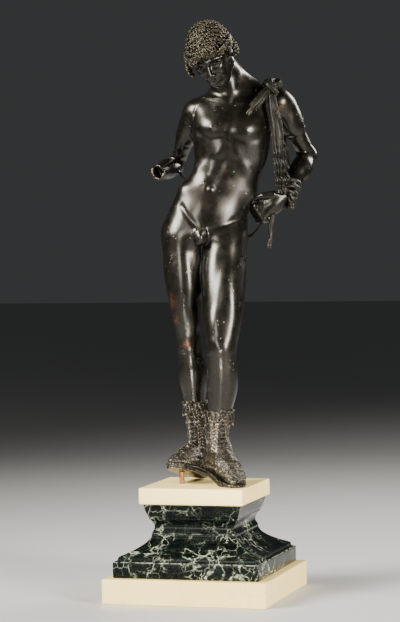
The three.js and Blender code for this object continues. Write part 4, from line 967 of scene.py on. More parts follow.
NECK_CUT = between(NECK_ROOT, NECK_TOP, 0.45)
NECK_AXIS = unit(NECK_TOP - NECK_ROOT)
OVERLAP = 2.5
OVERLAP_SLOPE = 0.05
PLAIN_NEAR_CUT, CREST_FADE = 3.6, 6.0


def above_cut(p):
    """How far points lie above the neck cut, along the neck."""
    return (p - NECK_CUT) @ NECK_AXIS


def cut_body(p, reach, past):
    """The body up to the neck cut; past it the metal thins, so that one piece dips under the other."""
    return maximum(body_field(p, reach) + OVERLAP_SLOPE * maximum(past, 0), past - OVERLAP)


def trunk_field(p, reach):
    return cut_body(p, reach, above_cut(p))


def head_field(p, reach):
    return cut_body(p, reach, -above_cut(p))


def field_piece(name, field, low, high, cell, rounds=2):
    """A piece skinned from a field, with its crest mark, which fades out at the neck cut."""
    points, quads = skin_of(field, low, high, cell, rounds)
    fade = clip((np.abs(above_cut(points)) - PLAIN_NEAR_CUT) / CREST_FADE, 0, 1)
    crest = crest_of(points, quads) * fade
    return put_mesh(name, on_the_base(points), quads, np.zeros((0, 3), int), crest)


# Hair

CAP_CENTRE = vec(0, -6, 7)
CAP_RADII = vec(30, 38, 35.5)

# Angles from the crown at which the hair ends at the nape, over the brow and before the ears.
NAPE, BROW, TEMPLE = 1.98, 1.24, 1.62


def on_cap(polar, turn, out):
    """The point on the skull's cap at an angle from the crown and a turn from the front."""
    way = stack([
        sin(polar) * sin(turn), sin(polar) * cos(turn), cos(polar) + 0 * turn,
    ], -1)
    return way * (CAP_RADII + asarray(out)[..., None]) + CAP_CENTRE, unit(way / CAP_RADII)


def curl_places(count, rng):
    """Evenly strewn places (golden angle) on the cap, less the face and what lies below the nape."""
    i = arange(count) + 0.5
    polar = np.arccos(1 - 2 * i / count) + rng.normal(0, 0.015, count)
    turn = (i * GOLDEN_ANGLE) % TAU
    front = cos(turn)
    keep = (polar < NAPE) & ~((polar > BROW) & (front > 0.42)) & ~((polar > TEMPLE) & (front > -0.15))
    return polar[keep], turn[keep]


def hair_curls(count, radius, seed):
    """The hair: curls all over the cap, locks round its edge, the cap itself, curls over the groin."""
    rng = np.random.default_rng(seed)
    hair = Bundle()
    snail_curls(hair, count, radius, rng)
    fringe_locks(hair, rng)
    hair.add(*cap_surface(), mark=-1.0)
    groin_curls(hair, rng)
    return hair


def snail_curls(hair, count, radius, rng):
    """Tight snail curls on the cap: each winds in over the skull and rises to its middle."""
    polar, turn = curl_places(count, rng)
    n = len(polar)
    at, normal = on_cap(polar, turn, full(n, -1.2))
    east = unit(np.cross(normal, vec(0.1, 0.2, 1)))
    north = np.cross(normal, east)
    t = linspace(0, 1, 12)
    start = rng.uniform(0, TAU, n)
    hand = np.where(rng.random(n) < 0.5, -1.0, 1.0)
    size = radius * rng.uniform(0.85, 1.2, n)
    wind = start[:, None] + hand[:, None] * t * rng.uniform(6.6, 8.8, n)[:, None]
    r = size[:, None] * (1 - 0.88 * t) ** 0.8
    rise = 0.3 + 2.9 * t**1.3 * rng.uniform(0.8, 1.25, n)[:, None]
    east, north, out = east[:, None], north[:, None], normal[:, None]
    paths = shifted(at[:, None], (r * cos(wind), east), (r * sin(wind), north), (rise, out))
    thick = size[:, None] * interp(t, [0, 0.2, 0.7, 1], [0.22, 0.4, 0.38, 0.26])
    hair.tubes(HEAD.outward(paths), thick * HEAD_SCALE, (normal @ HEAD.axes)[:, None], sides=5)


def fringe_locks(hair, rng):
    """Short comma locks along the brow, the temples and the nape, tips bent aside."""
    turn = concatenate([linspace(-1.25, 1.25, 19), linspace(2.2, 4.08, 13)])
    n = len(turn)
    polar = np.where(np.abs(turn) < 1.3, 1.16 + 0.1 * np.abs(turn), 1.95)
    at, normal = on_cap(polar, turn, full(n, -1.0))
    down = unit(vec(0, 0, -1) - normal * (-normal[:, 2:3]))
    side = np.cross(normal, down)
    t = linspace(0, 1, 9)
    swing = rng.uniform(-1, 1, n)[:, None]
    length = rng.uniform(7, 10, n)[:, None]
    rise = 1.2 + 1.6 * sin(t * 3)
    moves = ((length * (t - 0.25), down), (swing * 5 * t**2, side), (rise, normal))
    paths = shifted(at[:, None], *((amount, way[:, None]) for amount, way in moves))
    thick = interp(t, [0, 0.3, 1], [1.3, 1.9, 0.5]) * np.ones((n, 1))
    hair.tubes(HEAD.outward(paths), thick * HEAD_SCALE, (normal @ HEAD.axes)[:, None], sides=5)


def groin_curls(hair, rng):
    """A few small curls over the groin, in the figure's own frame."""
    n = 15
    k = arange(n) + 0.5
    t = linspace(0, 1, 12)
    spread = sqrt(k)
    at = vec(-1, -0.6, 341) + stack([
        2.0 * spread * cos(2.4 * k), 0.1 * k, 1.2 * spread * sin(2.4 * k),
    ], 1)
    wind = rng.uniform(0, TAU, n)[:, None] + 7 * t
    r = 1.9 * (1 - 0.85 * t)
    paths = at[:, None] + stack([r * cos(wind), 0 * wind - 1.2 * t, r * sin(wind)], -1)
    hair.tubes(paths, 0.75 * (1 - 0.4 * t), vec(0, 1, 0.01), sides=5)


def cap_surface():
    """The closed cap under the curls: an ellipsoid whose rim is drawn in under the skull's skin."""
    sides, rings = 56, 26
    polar = linspace(0, 2.05, rings)[1:, None] + np.zeros((1, sides))
    turn = once_round(sides)[None] + np.zeros((rings - 1, 1))
    front = clip((cos(turn) - 0.3) / 0.2, 0, 1)
    sunk = clip((polar - (1.22 + (1 - front) * 0.7)) / 0.12, 0, 1)
    bumps = 0.5 * sin(9 * turn) * sin(9 * polar)
    points, _ = on_cap(polar, turn, -1.4 + bumps - 9 * sunk)
    top, _ = on_cap(np.zeros(1), np.zeros(1), vec(-1.4))
    points = concatenate([points.reshape(-1, 3), top, [CAP_CENTRE - (0, 0, 12)]])
    return (HEAD.outward(points), *net(rings - 1, sides))


# Wreath


def wreath_line(turn):
    """The wreath's line round the head: low at the back, rising over the brow."""
    return stack([
        32.5 * sin(turn),
        37.5 * cos(turn) - 3 + 3.5 * minimum(cos(turn), 0),
        15.5 - 5 * np.abs(np.where(turn > math.pi, turn - TAU, turn)) + 1.5 * cos(4 * turn),
    ], -1)


def ivy_outline(a):
    """A pointed leaf with two side lobes; its tip lies along y."""
    from_tip = (a - TAU / 4 + math.pi) % TAU - math.pi
    return 0.62 + 0.62 * bell(from_tip, 0.42) + 0.28 * bell(np.abs(from_tip) - 1.45, 0.45)


def wreath_bundle(count, seed):
    """The wreath: two twisted stems, leaves along them, loose berries and two bunches."""
    rng = np.random.default_rng(seed)
    wreath = Bundle()
    stems(wreath)
    leaves(wreath, rng)
    berries(wreath, count, rng)
    return wreath


def stems(wreath):
    """Two stems twisted round each other."""
    turn = linspace(-math.pi, math.pi, 91)[:-1]
    middle = wreath_line(turn)
    out = unit(middle * (1, 1, 0))
    for phase in (0.0, math.pi):
        twist = 14 * turn + phase
        path = middle + 1.5 * (cos(twist)[:, None] * out + sin(twist)[:, None] * vec(0, 0, 1))
        wreath.tubes(HEAD.outward(path), 1.35, vec(0, 0, 1) @ HEAD.axes, sides=6, closed=True)


def leaves(wreath, rng):
    """Leaves that point away from the brow's middle, over and under the stems by chance."""
    leaf = pillow(ivy_outline, 3, 0.14, 0.16)
    places = concatenate([linspace(-2.6, 2.6, 40), linspace(-2.1, 2.1, 30)])
    n = len(places)
    at = wreath_line(places)
    away = unit(at * (1, 1, 0) + vec(0, 0, 4))
    tangent = unit(np.cross(vec(0, 0, 1), away)) * -np.sign(places)[:, None]
    lift = rng.choice([-1.0, 1.0], n)[:, None] * rng.uniform(0.2, 1.3, (n, 1))
    along = unit(tangent + vec(0, 0, 1) * lift + 0.12 * away)
    face = unit(away + rng.normal(0, 0.22, (n, 3)))
    side = unit(np.cross(along, face))
    axes = stack([side, along, np.cross(side, along)], 1)
    size = rng.uniform(3.8, 5.8, n)
    base = at + along * 2.2 + away * rng.uniform(0.8, 2.2, (n, 1))
    points, quads, triangles = scatter(leaf, base, size, axes)
    wreath.add(HEAD.outward(points), quads, triangles, -0.05)


def berries(wreath, count, rng):
    """A bunch of berries at each side of the head and loose ones strewn along the brow."""
    centres, sizes = [], []
    k = arange(count)
    a = GOLDEN_ANGLE * k
    r = 2.2 * sqrt(k)
    dome = 5.6 * sqrt(1 - k / count)
    for s, bunch in ((1, vec(32.5, -6, -5)), (-1, vec(-33, 12, -7))):
        centres.append(bunch + stack([s * (dome - 2), r * cos(a), 1.2 * r * sin(a)], 1))
        sizes.append(rng.uniform(2.0, 2.7, count))
    loose = 3 * count
    strewn = wreath_line(rng.uniform(-1.5, 1.5, loose)) * (1.05, 1.05, 1)
    strewn = strewn + rng.normal(0, 1, (loose, 3)) * (0.8, 0.8, 2.6)
    centres.append(strewn + unit(strewn * (1, 1, 0)) * 0.8)
    sizes.append(rng.uniform(1.2, 2.1, loose))
    points, quads, triangles = scatter(ball(), concatenate(centres), concatenate(sizes))
    wreath.add(HEAD.outward(points), quads, triangles, 0.35)


# Animal skin

HIDE_NAP = 0.045
COMB_WAVES = 17


def along_line(count, places, values):
    """Values given at shares of a line's length, for count even steps."""
    return interp(linspace(0, 1, count), places, values)


def folded(path, half_width, half_depth, across, folds, depth, seed, sides=72):
    """A folded hide carried along a path: an oval whose radius is pressed into uneven folds, which
    wander as they run; across is the direction of its width."""
    rng = np.random.default_rng(seed)
    m = len(path)
    s = linspace(0, 1, m)[:, None]
    a = once_round(sides)[None]
    along = unit(np.gradient(path, axis=0))
    across = np.broadcast_to(asarray(across, float), path.shape)
    e1 = unit(across - along * np.einsum("ij,ij->i", across, along)[:, None])
    e2 = np.cross(along, e1)
    wander = sum(
        rng.uniform(0.15, 0.4) * sin(rng.uniform(2, 9) * s + rng.uniform(0, 6) + k * a)
        for k in range(1, 4)
    )
    wave = cos(folds * (a + 0.35 * wander) + 2.4 * wander)
    crease = depth * (np.abs(0.5 + 0.5 * wave) ** 0.6 - 0.62)
    length = np.linalg.norm(np.diff(path, axis=0), axis=1).sum()
    comb = sin(COMB_WAVES * a + 5 * wave + length * s) * sin(length * 1.9 * s - 11 * a + 2 * wander)
    r = 1 + crease + HIDE_NAP * comb
    wide, deep = (np.broadcast_to(asarray(half, float), m)[:, None] for half in (half_width, half_depth))
    e1, e2 = e1[:, None], e2[:, None]
    ring = shifted(path[:, None], (wide * r * cos(a), e1), (deep * r * sin(a), e2))
    poles = [path[:1] - along[:1] * 0.5, path[-1:] + along[-1:] * 0.5]
    points = concatenate([ring.reshape(-1, 3), *poles])
    return points, *net(m, sides), np.append((crease / depth + comb - 0.3).ravel(), [0, 0])


def hoof(hide, at, along, front, size):
    """A cloven hoof: two tapered toes side by side under a swollen joint with two dew claws."""
    at, along, front = asarray(at, float), unit(along), unit(front)
    side = unit(np.cross(along, front))
    t = linspace(0, 1, 7)[:, None]
    for s in (-1, 1):
        toe = at + side * s * size * (0.42 + 0.1 * t) + along * size * 2.1 * t + front * size * 0.25 * t**2
        taper = interp(t[:, 0], [0, 0.5, 1], [0.62, 0.68, 0.3])
        hide.tubes(toe, size * taper, front, sides=8, mark=0.8)
        claw = at - along * size * 0.3 + side * s * size * 0.6 - front * size * (0.5 + 0.4 * t[:4])
        hide.tubes(claw, size * 0.24, along, sides=6, mark=0.8)
    joint = at + along * size * linspace(-0.9, 0.3, 6)[:, None]
    hide.tubes(joint, size * vec(0.6, 0.8, 0.92, 0.95, 0.85, 0.7), front, sides=10, mark=0.5)


def tuft(hide, at, along, out, size, count, rng):
    """A few pointed hair locks that stand off the hide's edge."""
    t = linspace(0, 1, 6)
    along, out = unit(along), unit(out)
    cross = np.cross(along, out)
    spread = rng.normal(0, 0.35, (count, 1))
    way = along * rng.uniform(0.3, 0.8, (count, 1)) + out + cross * spread
    base = asarray(at, float) + along * rng.uniform(-1, 1, (count, 1)) * size * 0.5
    paths = base[:, None] + size * t[:, None] * way[:, None] + size * 0.3 * (t**2)[:, None] * along
    thick = size * interp(t, [0, 0.4, 1], [0.3, 0.24, 0.06]) * np.ones((count, 1))
    hide.tubes(paths, thick, cross + 0.01, sides=5, mark=0.6)


# The hide's lengths but for the long front one. Each has its line, the count of steps along it, its
# half width as shares of the length with values, its half depth, the direction of its width, how
# many folds and how deep, its own step of the seed, and the count of sides.
HIDE_LENGTHS = {
    "over the shoulder and down the back of the arm": (
        [[99, 17, 520], [98, 16, 532], [98, 27, 538.5], [98, 46, 539], [100, 62, 532.5], [103, 72, 513],
         [108, 75, 480], [116, 69, 440], [120, 57, 408], [120, 42, 393]],
        110, ([0, 0.15, 0.35, 0.5, 0.8, 1], [7, 7.5, 9.5, 9, 6.5, 4.5]),
        along_line(110, [0, 0.3, 0.6, 1], [4, 3.6, 3.6, 3.2]), (1, 0.15, 0), 6, 0.3, 1, 72),
    "first bight of the knot": (
        [[89, 20, 525], [92, 12.5, 530], [100, 9.5, 534], [108, 14, 535], [109, 25, 539], [102, 35, 542],
         [93, 33, 540], [88, 25, 533]],
        60, ([0], [4.2]), 3.4, (0, 0.5, 1), 5, 0.34, 2, 40),
    "second bight, across the first": (
        [[105, 11, 524], [100, 7.5, 530], [95, 10, 536.5], [95, 20, 541], [99, 30, 542], [103, 42, 540]],
        50, ([0, 0.4, 1], [3, 5.4, 5]), 4, (1, 0.3, 0.4), 5, 0.36, 9, 40),
    "leg that hangs on the chest": (
        [[96, 12, 531], [88, 6, 522], [79, 1, 511], [71, -1, 503]],
        70, ([0, 0.5, 1], [5.2, 4.8, 3.4]), 2.8, (0.7, 0, -0.7), 4, 0.36, 3, 40),
    "leg that hangs from the wrist": (
        [[98, 30, 362], [95, 29, 346], [95, 28, 330], [93, 27, 322]],
        36, ([0, 0.6, 1], [3.6, 2.9, 2.8]), 2.3, (1, 0, 0), 3, 0.24, 5, 28),
    "short end behind the wrist": (
        [[120, 27, 386], [122, 25, 380], [124, 24, 372]], 20, ([0], [3.0]), 2.3, (1, 0, 0), 3, 0.24, 6, 24),
    "loop under the hand": (
        [[62, 47, 352], [58, 45, 340], [62, 43, 331], [71, 40, 334], [79, 37, 343], [86, 34, 354]],
        60, ([0], [2.7]), 1.7, (0.3, 0.3, 1), 3, 0.2, 7, 24),
    "strap over the back of the hand": (
        [[66, 41, 387], [84, 32, 386.5], [104, 27, 388]], 40, ([0], [1.7]), 2.4, (0, 0, 1), 3, 0.2, 8, 24),
}
HOOVES = (
    ([69.5, -1.5, 501], [-0.6, -0.1, -0.8], [0, -1, 0.2], 3.4),
    ([107, 11, 534], [0.8, -0.1, 0.35], [0, -1, 0.3], 2.6),
    ([93, 27, 322], [-0.15, -0.1, -1], [0, -1, 0], 3.0),
    ([124, 24, 372], [0.1, 0, -1], [0, -1, 0], 2.4),
)


def animal_skin(seed):
    """The hide: a folded length from the left wrist up over the shoulder and down the back of the
    arm, a knot, windings round the wrist, loose legs with hooves."""
    hide = Bundle()
    line, width = front_length(hide, seed)
    for path, count, widths, half_depth, across, folds, depth, step, sides in HIDE_LENGTHS.values():
        path, half_width = spline(path, count), along_line(count, *widths)
        hide.add(*folded(path, half_width, half_depth, across, folds, depth, seed + step, sides))
    for joint in HOOVES:
        hoof(hide, *joint)
    hide_tufts(hide, line, width, np.random.default_rng(seed))
    wrist_windings(hide)
    return hide


def front_length(hide, seed):
    """The long front length; below the middle it is twisted into lumps, each a slow swelling."""
    t = linspace(0, 1, 210)
    line = spline([
        [96.5, 15, 532], [98, 14, 510], [104, 13, 479], [106.6, 14, 445], [108.4, 17, 412], [110, 20, 390],
    ], len(t))
    lumps = clip((t - 0.45) / 0.2, 0, 1) * (0.9 * sin(46 * t) + 0.6 * sin(83 * t + 1))
    line += lumps[:, None] * vec(0.8, -0.4, 0)
    width = interp(t, [0, 0.1, 0.3, 0.5, 0.8, 1], [4.4, 6, 7.4, 7.6, 6.2, 5.6]) + lumps
    depth = interp(t, [0, 0.5, 1], [4.6, 6.2, 5]) + 0.7 * lumps
    hide.add(*folded(line, width, depth, vec(1, 0.1, 0), 6, 0.42, seed))
    return line, width


def hide_tufts(hide, line, width, rng):
    """Tufts along both edges of the leg on the chest, at three places low on the front length, and
    down both of its edges."""
    along = unit(vec(-0.62, -0.2, -0.75))
    for k in range(9):
        middle = between([91, 8, 525.5], [74, -0.5, 506], k / 8)
        for s in (-1, 1):
            edge = vec(0.75, 0, -0.62) * s
            tuft(hide, middle + edge * 3.9, along, edge + vec(0, -0.2, 0), 3.2, 3, rng)
    for at in ([113, 17, 455], [115, 17, 427], [116, 17, 416]):
        tuft(hide, at, [0.2, 0, -1], [1, -0.3, 0], 5.0, 4, rng)
    for k in range(22):
        where = np.argmin(np.abs(line[:, 2] - (524 - 6 * k)))
        for s in (-1, 1):
            spot = line[where] + vec(s * width[where] * 0.9, 1, 2 * s)
            tuft(hide, spot, [0, 0, -1], [0.6 * s, -0.2, -0.6], 2.6, 2, rng)


def wrist_windings(hide):
    """Seven narrow straps wound round the wrist, each tilted its own way, and two tucked ends."""
    axis = unit(LEFT_ELBOW - LEFT_WRIST)
    a1 = unit(np.cross(axis, vec(0, 1, 0)))
    a2 = np.cross(axis, a1)

    def round_wrist(along, r, angle):
        return shifted(LEFT_WRIST, (along, axis), (r * cos(angle), a1), (r * sin(angle), a2))

    a = linspace(0, TAU, 73)[:-1]
    for w in range(7):
        r = 11.0 + 0.5 * (w % 3) + 1.1 * sin(2 * a + w) + 0.35 * sin(7 * a + 2 * w)
        tilt = (4.8 + 0.5 * (w % 2)) * sin(a + w * 1.9)
        thick = 1.75 + 0.3 * sin(3 * a + w) + 0.2 * sin(8 * a - w)
        hide.tubes(round_wrist(-8.5 + 4.1 * w + tilt, r, a), thick, axis, sides=14, flat=1.7,
                   lobes=4, lobe_depth=0.16, closed=True, mark=0.1)
    t = linspace(0, 1, 24)
    for start, out in ((0.4, 1.0), (2.7, -0.6)):
        path = round_wrist(-6 + 20 * t * out, 13.2 + 0.8 * sin(4 * t), start + 2.4 * t)
        hide.tubes(path, interp(t, [0, 0.5, 1], [1.4, 2.4, 1.3]), axis, sides=10, flat=1.4, mark=0.4)


# Boots

SHAFT_LOW = 40.0
SHELL_SIDES, SHELL_ROWS = 192, 116
SHELL_PLAITS = 9
SHELL_PITCH = 4.4
PLACKET = 0.42
SEAM = 0.46
LACE = 0.95
LACE_KNOT = 9.0
WELT_BEADS = 66
ANKLE_TOP = 62.0


def foot_forms():
    """The booted foot's upper forms and its toes, in the foot's own frame."""
    upper = [
        (rod([0, 14, 18], [0, 20, 42], 12.5, 12.5), 8),
        (rod([0, 22, 36], [0, 52, 25], 13.5, 12.5), 10),
        (rod([-3, 48, 20], [-4, 77, 14], 13, 8.5), 8),
        (rod([6, 46, 17], [7, 71, 13], 12, 8.5), 8),
    ]
    toes = [
        rod([x, 76, 12.5], [x * 0.9, 86 - 1.6 * i, 11], 5, 4.4 - 0.3 * i)
        for i, x in enumerate((-9, -3, 3, 8.5))
    ]
    heel, ball_of_foot, tip = [0, 13, 0], [-1, FOOT_LENGTH * 0.69, 0], [-2.5, FOOT_LENGTH - 14.5, 0]
    outline = [rod(heel, ball_of_foot, 13, 18), rod(ball_of_foot, tip, 18, 14.5)]
    return upper, toes, outline


UPPER, TOES, SOLE_OUTLINE = foot_forms()


def plaits(u, v, pitch):
    """Columns of slanted strands that meet in chevrons, with a cord between columns; 0 to 1."""
    k = np.abs((u % 1) - 0.5) * 2
    strands = 0.5 + 0.5 * cos(TAU * (v / pitch - 0.9 * k))
    return maximum(0.85 * strands**0.7, bell(1 - k, 0.16))


def sole_edge(q):
    """Distance to the sole's outline, seen from above."""
    flat = q * (1, 1, 0)
    return smooth_min(SOLE_OUTLINE[0].value(flat), SOLE_OUTLINE[1].value(flat), 4)


def foot_field(p, place, lift, reach):
    """One booted foot: plaited upper, toes and a thick sole with two grooves run round its edge."""
    q = place.inward(p)
    x, y, z = q.T
    d = blend(q, UPPER, reach)
    for toe in TOES:
        join(d, q, toe, 2.5, reach)
    around = np.arctan2(x, z - 10) * 15
    strand = plaits(around / 6.3, y + 1.2 * sin(around / 3), 3.6)
    clear = clip((z - SOLE_THICKNESS - 0.5) / 2, 0, 1) * clip((91 - y) / 3, 0, 1)
    d -= np.where(np.abs(d) < 8, 1.15 * strand * clear, 0)
    d = smooth_max(d, -z, 1)
    edge = sole_edge(q) + sum(0.7 * bell(z - groove, 0.8) for groove in (2.7, 5.6))
    sole = smooth_max(smooth_max(edge, z - SOLE_THICKNESS, 2), -z, 2)
    d = smooth_min(d, sole, 1.2)
    return maximum(d, -p[:, 2] + lift)


def feet_field(p, reach):
    """Both booted feet, with the ankles that run up into the shafts."""
    d = foot_field(p, RIGHT_FOOT, FIT_GAP, reach)
    d = smooth_min(d, foot_field(p, LEFT_FOOT, FIT_GAP, reach), 1.5)
    ankles = smooth_min(RIGHT_LEG_COLUMN.value(p), LEFT_LEG_COLUMN.value(p), 1)
    return maximum(smooth_min(d, ankles, 6), p[:, 2] - ANKLE_TOP)


def out_to(field, centre, way, start, rounds, gain=0.9):
    """How far from the centre each way meets the field's surface, found in rounds from a start."""
    r = full(way.shape[:-1], start)
    for _ in range(rounds):
        r -= gain * field((centre + r[..., None] * way).reshape(-1, 3)).reshape(r.shape)
    return r


class Shaft:
    """The leg that a boot wraps, up to the boot's top; angle 0 is the boot's own front."""

    def __init__(self, knee, ankle, top, turn, column_form, foot):
        self.knee, self.ankle, self.top, self.turn = knee, ankle, top, turn
        self.column_form, self.foot = column_form, foot

    def centre(self, z):
        t = ((self.knee[2] - z) / (self.knee[2] - self.ankle[2]))[..., None]
        return concatenate([self.knee[:2] * (1 - t) + self.ankle[:2] * t, z[..., None]], -1)

    def leg(self, p):
        return smooth_min(self.column_form.value(p), blend(self.foot.inward(p), UPPER, 20), 6)

    def around(self, a, z, out):
        """The points at angle a and height z that stand out from the leg by out."""
        a, z = np.broadcast_arrays(asarray(a, float) + self.turn, asarray(z, float))
        centre = self.centre(z)
        way = stack([sin(a), -cos(a), 0 * a], -1)
        return centre + (out_to(self.leg, centre, way, 14.0, 14) + out)[..., None] * way

    def outward(self, line):
        return unit(line - self.centre(line[:, 2]))


def boot(shaft, seed):
    """A high boot: a plaited shell laced up the front, a turned-over top with hanging flaps, a
    beaded welt round the sole and straps over the instep."""
    rng = np.random.default_rng(seed)
    bundle = Bundle()
    plaited_shell(bundle, shaft, seed)
    cuff_rolls(bundle, shaft)
    cuff_knobs(bundle, shaft, rng)
    hanging_flaps(bundle, shaft, rng)
    laces(bundle, shaft)
    bow(bundle, shaft)
    welt(bundle, shaft.foot)
    instep_straps(bundle, shaft.foot)
    return bundle


def plaited_shell(bundle, shaft, phase):
    """The shaft's outer face, plaited but for a ribbed placket in front, with seams and hems; its
    top turns in over an uneven rim."""
    low, top, sides = SHAFT_LOW, shaft.top, SHELL_SIDES
    a = once_round(sides) - math.pi
    z = linspace(low, top, SHELL_ROWS)[:, None]
    rim = 1.1 * cos(5 * a + phase) + 0.9 * cos(11 * a) + 0.5 * cos(17 * a + 1)
    z = z + rim * ((z - low) / (top - low)) ** 4
    placket = np.abs(a) < PLACKET
    columns = a * SHELL_PLAITS / TAU + 0.12 * sin(z / 6)
    strand = plaits(columns, z + 1.5 * sin(2 * a + 1), SHELL_PITCH)
    seam = bell(np.abs(a) - SEAM, 0.06)
    hems = sum(bell(z - (top - h), 0.8) for h in (4, 8, 12))
    height = 0.4 + 1.2 * strand * ~placket + 1.0 * seam + 0.9 * hems
    height += 0.3 * placket * sin(z * 2.2)
    height *= clip((z - low) / 4, 0, 1)
    lip = [shaft.around(a, top + rim + up, out)[None] for up, out in ((1.1, 0.2), (0, -1.2), (-5, -1.6))]
    grid = concatenate([shaft.around(a + 0 * z, z, height), *lip])
    crest = concatenate([(height - 0.9).ravel(), full(3 * sides + 2, 0.3)])
    points = [grid.reshape(-1, 3), shaft.centre(vec(low - 2)), shaft.centre(vec(top - 8))]
    bundle.add(concatenate(points), *net(len(grid), sides), crest)


def cuff_rolls(bundle, shaft):
    """Three ruffled rolls, one under the other, round the boot's top."""
    ring = linspace(-math.pi, math.pi, 97)[:-1]
    for k, drop in enumerate((0.3, 3.4, 6.6)):
        ruffle = 1.3 * cos((5 + 2 * k) * ring + k) + 0.7 * cos(13 * ring + 2 * k)
        path = shaft.around(ring, shaft.top - drop + ruffle, 1.5 + 0.6 * sin(9 * ring + k))
        thick = 1.5 + 0.35 * sin(14 * ring + k)
        bundle.tubes(path, thick, vec(0, 0, 1), sides=9, closed=True, mark=0.1)


def cuff_knobs(bundle, shaft, rng):
    """Knobs and knots strewn over cuff and shaft."""
    spots, on_cuff = 70, 34
    turn = rng.uniform(-math.pi, math.pi, spots)
    cuff, below = rng.uniform(-1, 9, spots), rng.uniform(8, 52, spots)
    drop = np.where(arange(spots) < on_cuff, cuff, below)
    places = shaft.around(turn, shaft.top - drop, 1.4)
    bundle.add(*scatter(ball(6, 3), places, rng.uniform(0.8, 1.7, spots)), 0.5)


def hanging_flaps(bundle, shaft, rng):
    """Flaps that hang from the cuff: short paws of hide with a curled, three-toed end."""
    up = vec(0, 0, 1)
    t = linspace(0, 1, 22)
    for spot in (-2.7, -1.9, -1.15, -0.6, 0.75, 1.3, 2.0, 2.75):
        length, bend = rng.uniform(9, 18), rng.uniform(-0.3, 0.3)
        bulge = 1.6 + rng.uniform(1.2, 2.4) * sin(2.6 * t) + 2.0 * t**6
        line = shaft.around(spot + bend * t**2 + 0.06 * sin(3 * t), shaft.top - 1 - length * t, bulge)
        wide = rng.uniform(0.75, 1) * interp(t, [0, 0.25, 0.7, 0.88, 1], [3.0, 3.4, 2.2, 2.8, 1.7])
        outward = shaft.outward(line)
        bundle.tubes(line, wide, outward, sides=16, flat=0.6, lobes=4, lobe_depth=0.16, mark=0.1)
        across = unit(np.cross(outward[-1], up))
        for s in (-1, 0, 1):
            reach = linspace(0, 1, 6)[:, None] * (outward[-1] * 0.9 - up * 2.4)
            claw = line[-1] + across * 1.5 * s + reach
            bundle.tubes(claw, vec(1.0, 1.1, 1.05, 0.9, 0.8, 0.5), outward[-1], sides=6, mark=0.6)


def laces(bundle, shaft):
    """Cords that cross in front, from below the cuff down to the instep."""
    steps = 7
    heights = linspace(shaft.top - LACE_KNOT, SHAFT_LOW + 10, steps + 1)
    t = linspace(0, 1, 12)
    for high, low in zip(heights[:-1], heights[1:]):
        for s in (-1, 1):
            out = 1.2 + 0.8 * sin(t * math.pi) + 0.4 * s * (t - 0.5)
            line = shaft.around(s * 0.45 * (1 - 2 * t), mix(high, low, t), out)
            bundle.tubes(line, LACE, shaft.outward(line), sides=6)


def bow(bundle, shaft):
    """The laces' bow: two loops and two ends that hang."""
    knot, up = shaft.top - LACE_KNOT, vec(0, 0, 1)
    a = linspace(0, TAU, 25)[:-1]
    open_loop = 1 - cos(a)
    t = linspace(0, 1, 12)
    for s in (-1, 1):
        loop = shaft.around(s * (0.1 + 0.28 * open_loop), knot - 3.2 * sin(a) - 2 * open_loop,
                            2.4 + 0.7 * open_loop)
        bundle.tubes(loop, LACE, up + 0.01, sides=6, closed=True, mark=0.3)
        end = shaft.around(s * (0.05 + 0.35 * t), knot - 13 * t, 2.4 + 0.4 * sin(5 * t))
        bundle.tubes(end, interp(t, [0, 0.85, 1], [0.9, 0.9, 1.3]), up + 0.01, sides=6, mark=0.3)


def welt(bundle, foot):
    """Beads round the top edge of the sole."""
    a = once_round(WELT_BEADS)
    middle = vec(-1, 0.5 * FOOT_LENGTH, 0)
    way = stack([sin(a), cos(a), 0 * a], 1)
    r = out_to(sole_edge, middle, way, 30.0, 30, 0.8)
    beads = middle + (r - 0.2)[:, None] * way + vec(0, 0, SOLE_THICKNESS - 0.7)
    points, quads, triangles = scatter(ball(6, 3), beads, full(WELT_BEADS, 1.5))
    bundle.add(foot.outward(points), quads, triangles, -0.1)


def instep_straps(bundle, foot):
    """Four straps over toes and instep, each with three bosses."""
    a = (linspace(0.03, 0.97, 40) - 0.5) * math.pi
    way = stack([sin(a), 0 * a, cos(a)], 1)
    for forward in (72, 60, 49, 38):
        centre = vec(1, forward, 9)
        r = out_to(lambda q: blend(q, UPPER, 20), centre, way, 14.0, 16)
        line = centre + (r + 0.7)[:, None] * way
        bundle.tubes(foot.outward(line), 1.5, way @ foot.axes, sides=10, flat=0.8, lobes=3,
                     lobe_depth=0.2, mark=0.1)
        for share in (0.15, 0.5, 0.85):
            boss = line[int(len(line) * share)]
            points, quads, triangles = scatter(ball(8, 4), [boss], vec(2.2, 2.2, 2.0))
            bundle.add(foot.outward(points), quads, triangles, 0.3)


# Base

CORNER_STEPS = 6
FACE_STEPS = 110
END_RINGS = (0.93, 0.7, 0.35)
NICKS = 26
NICK_DEPTH = 0.5


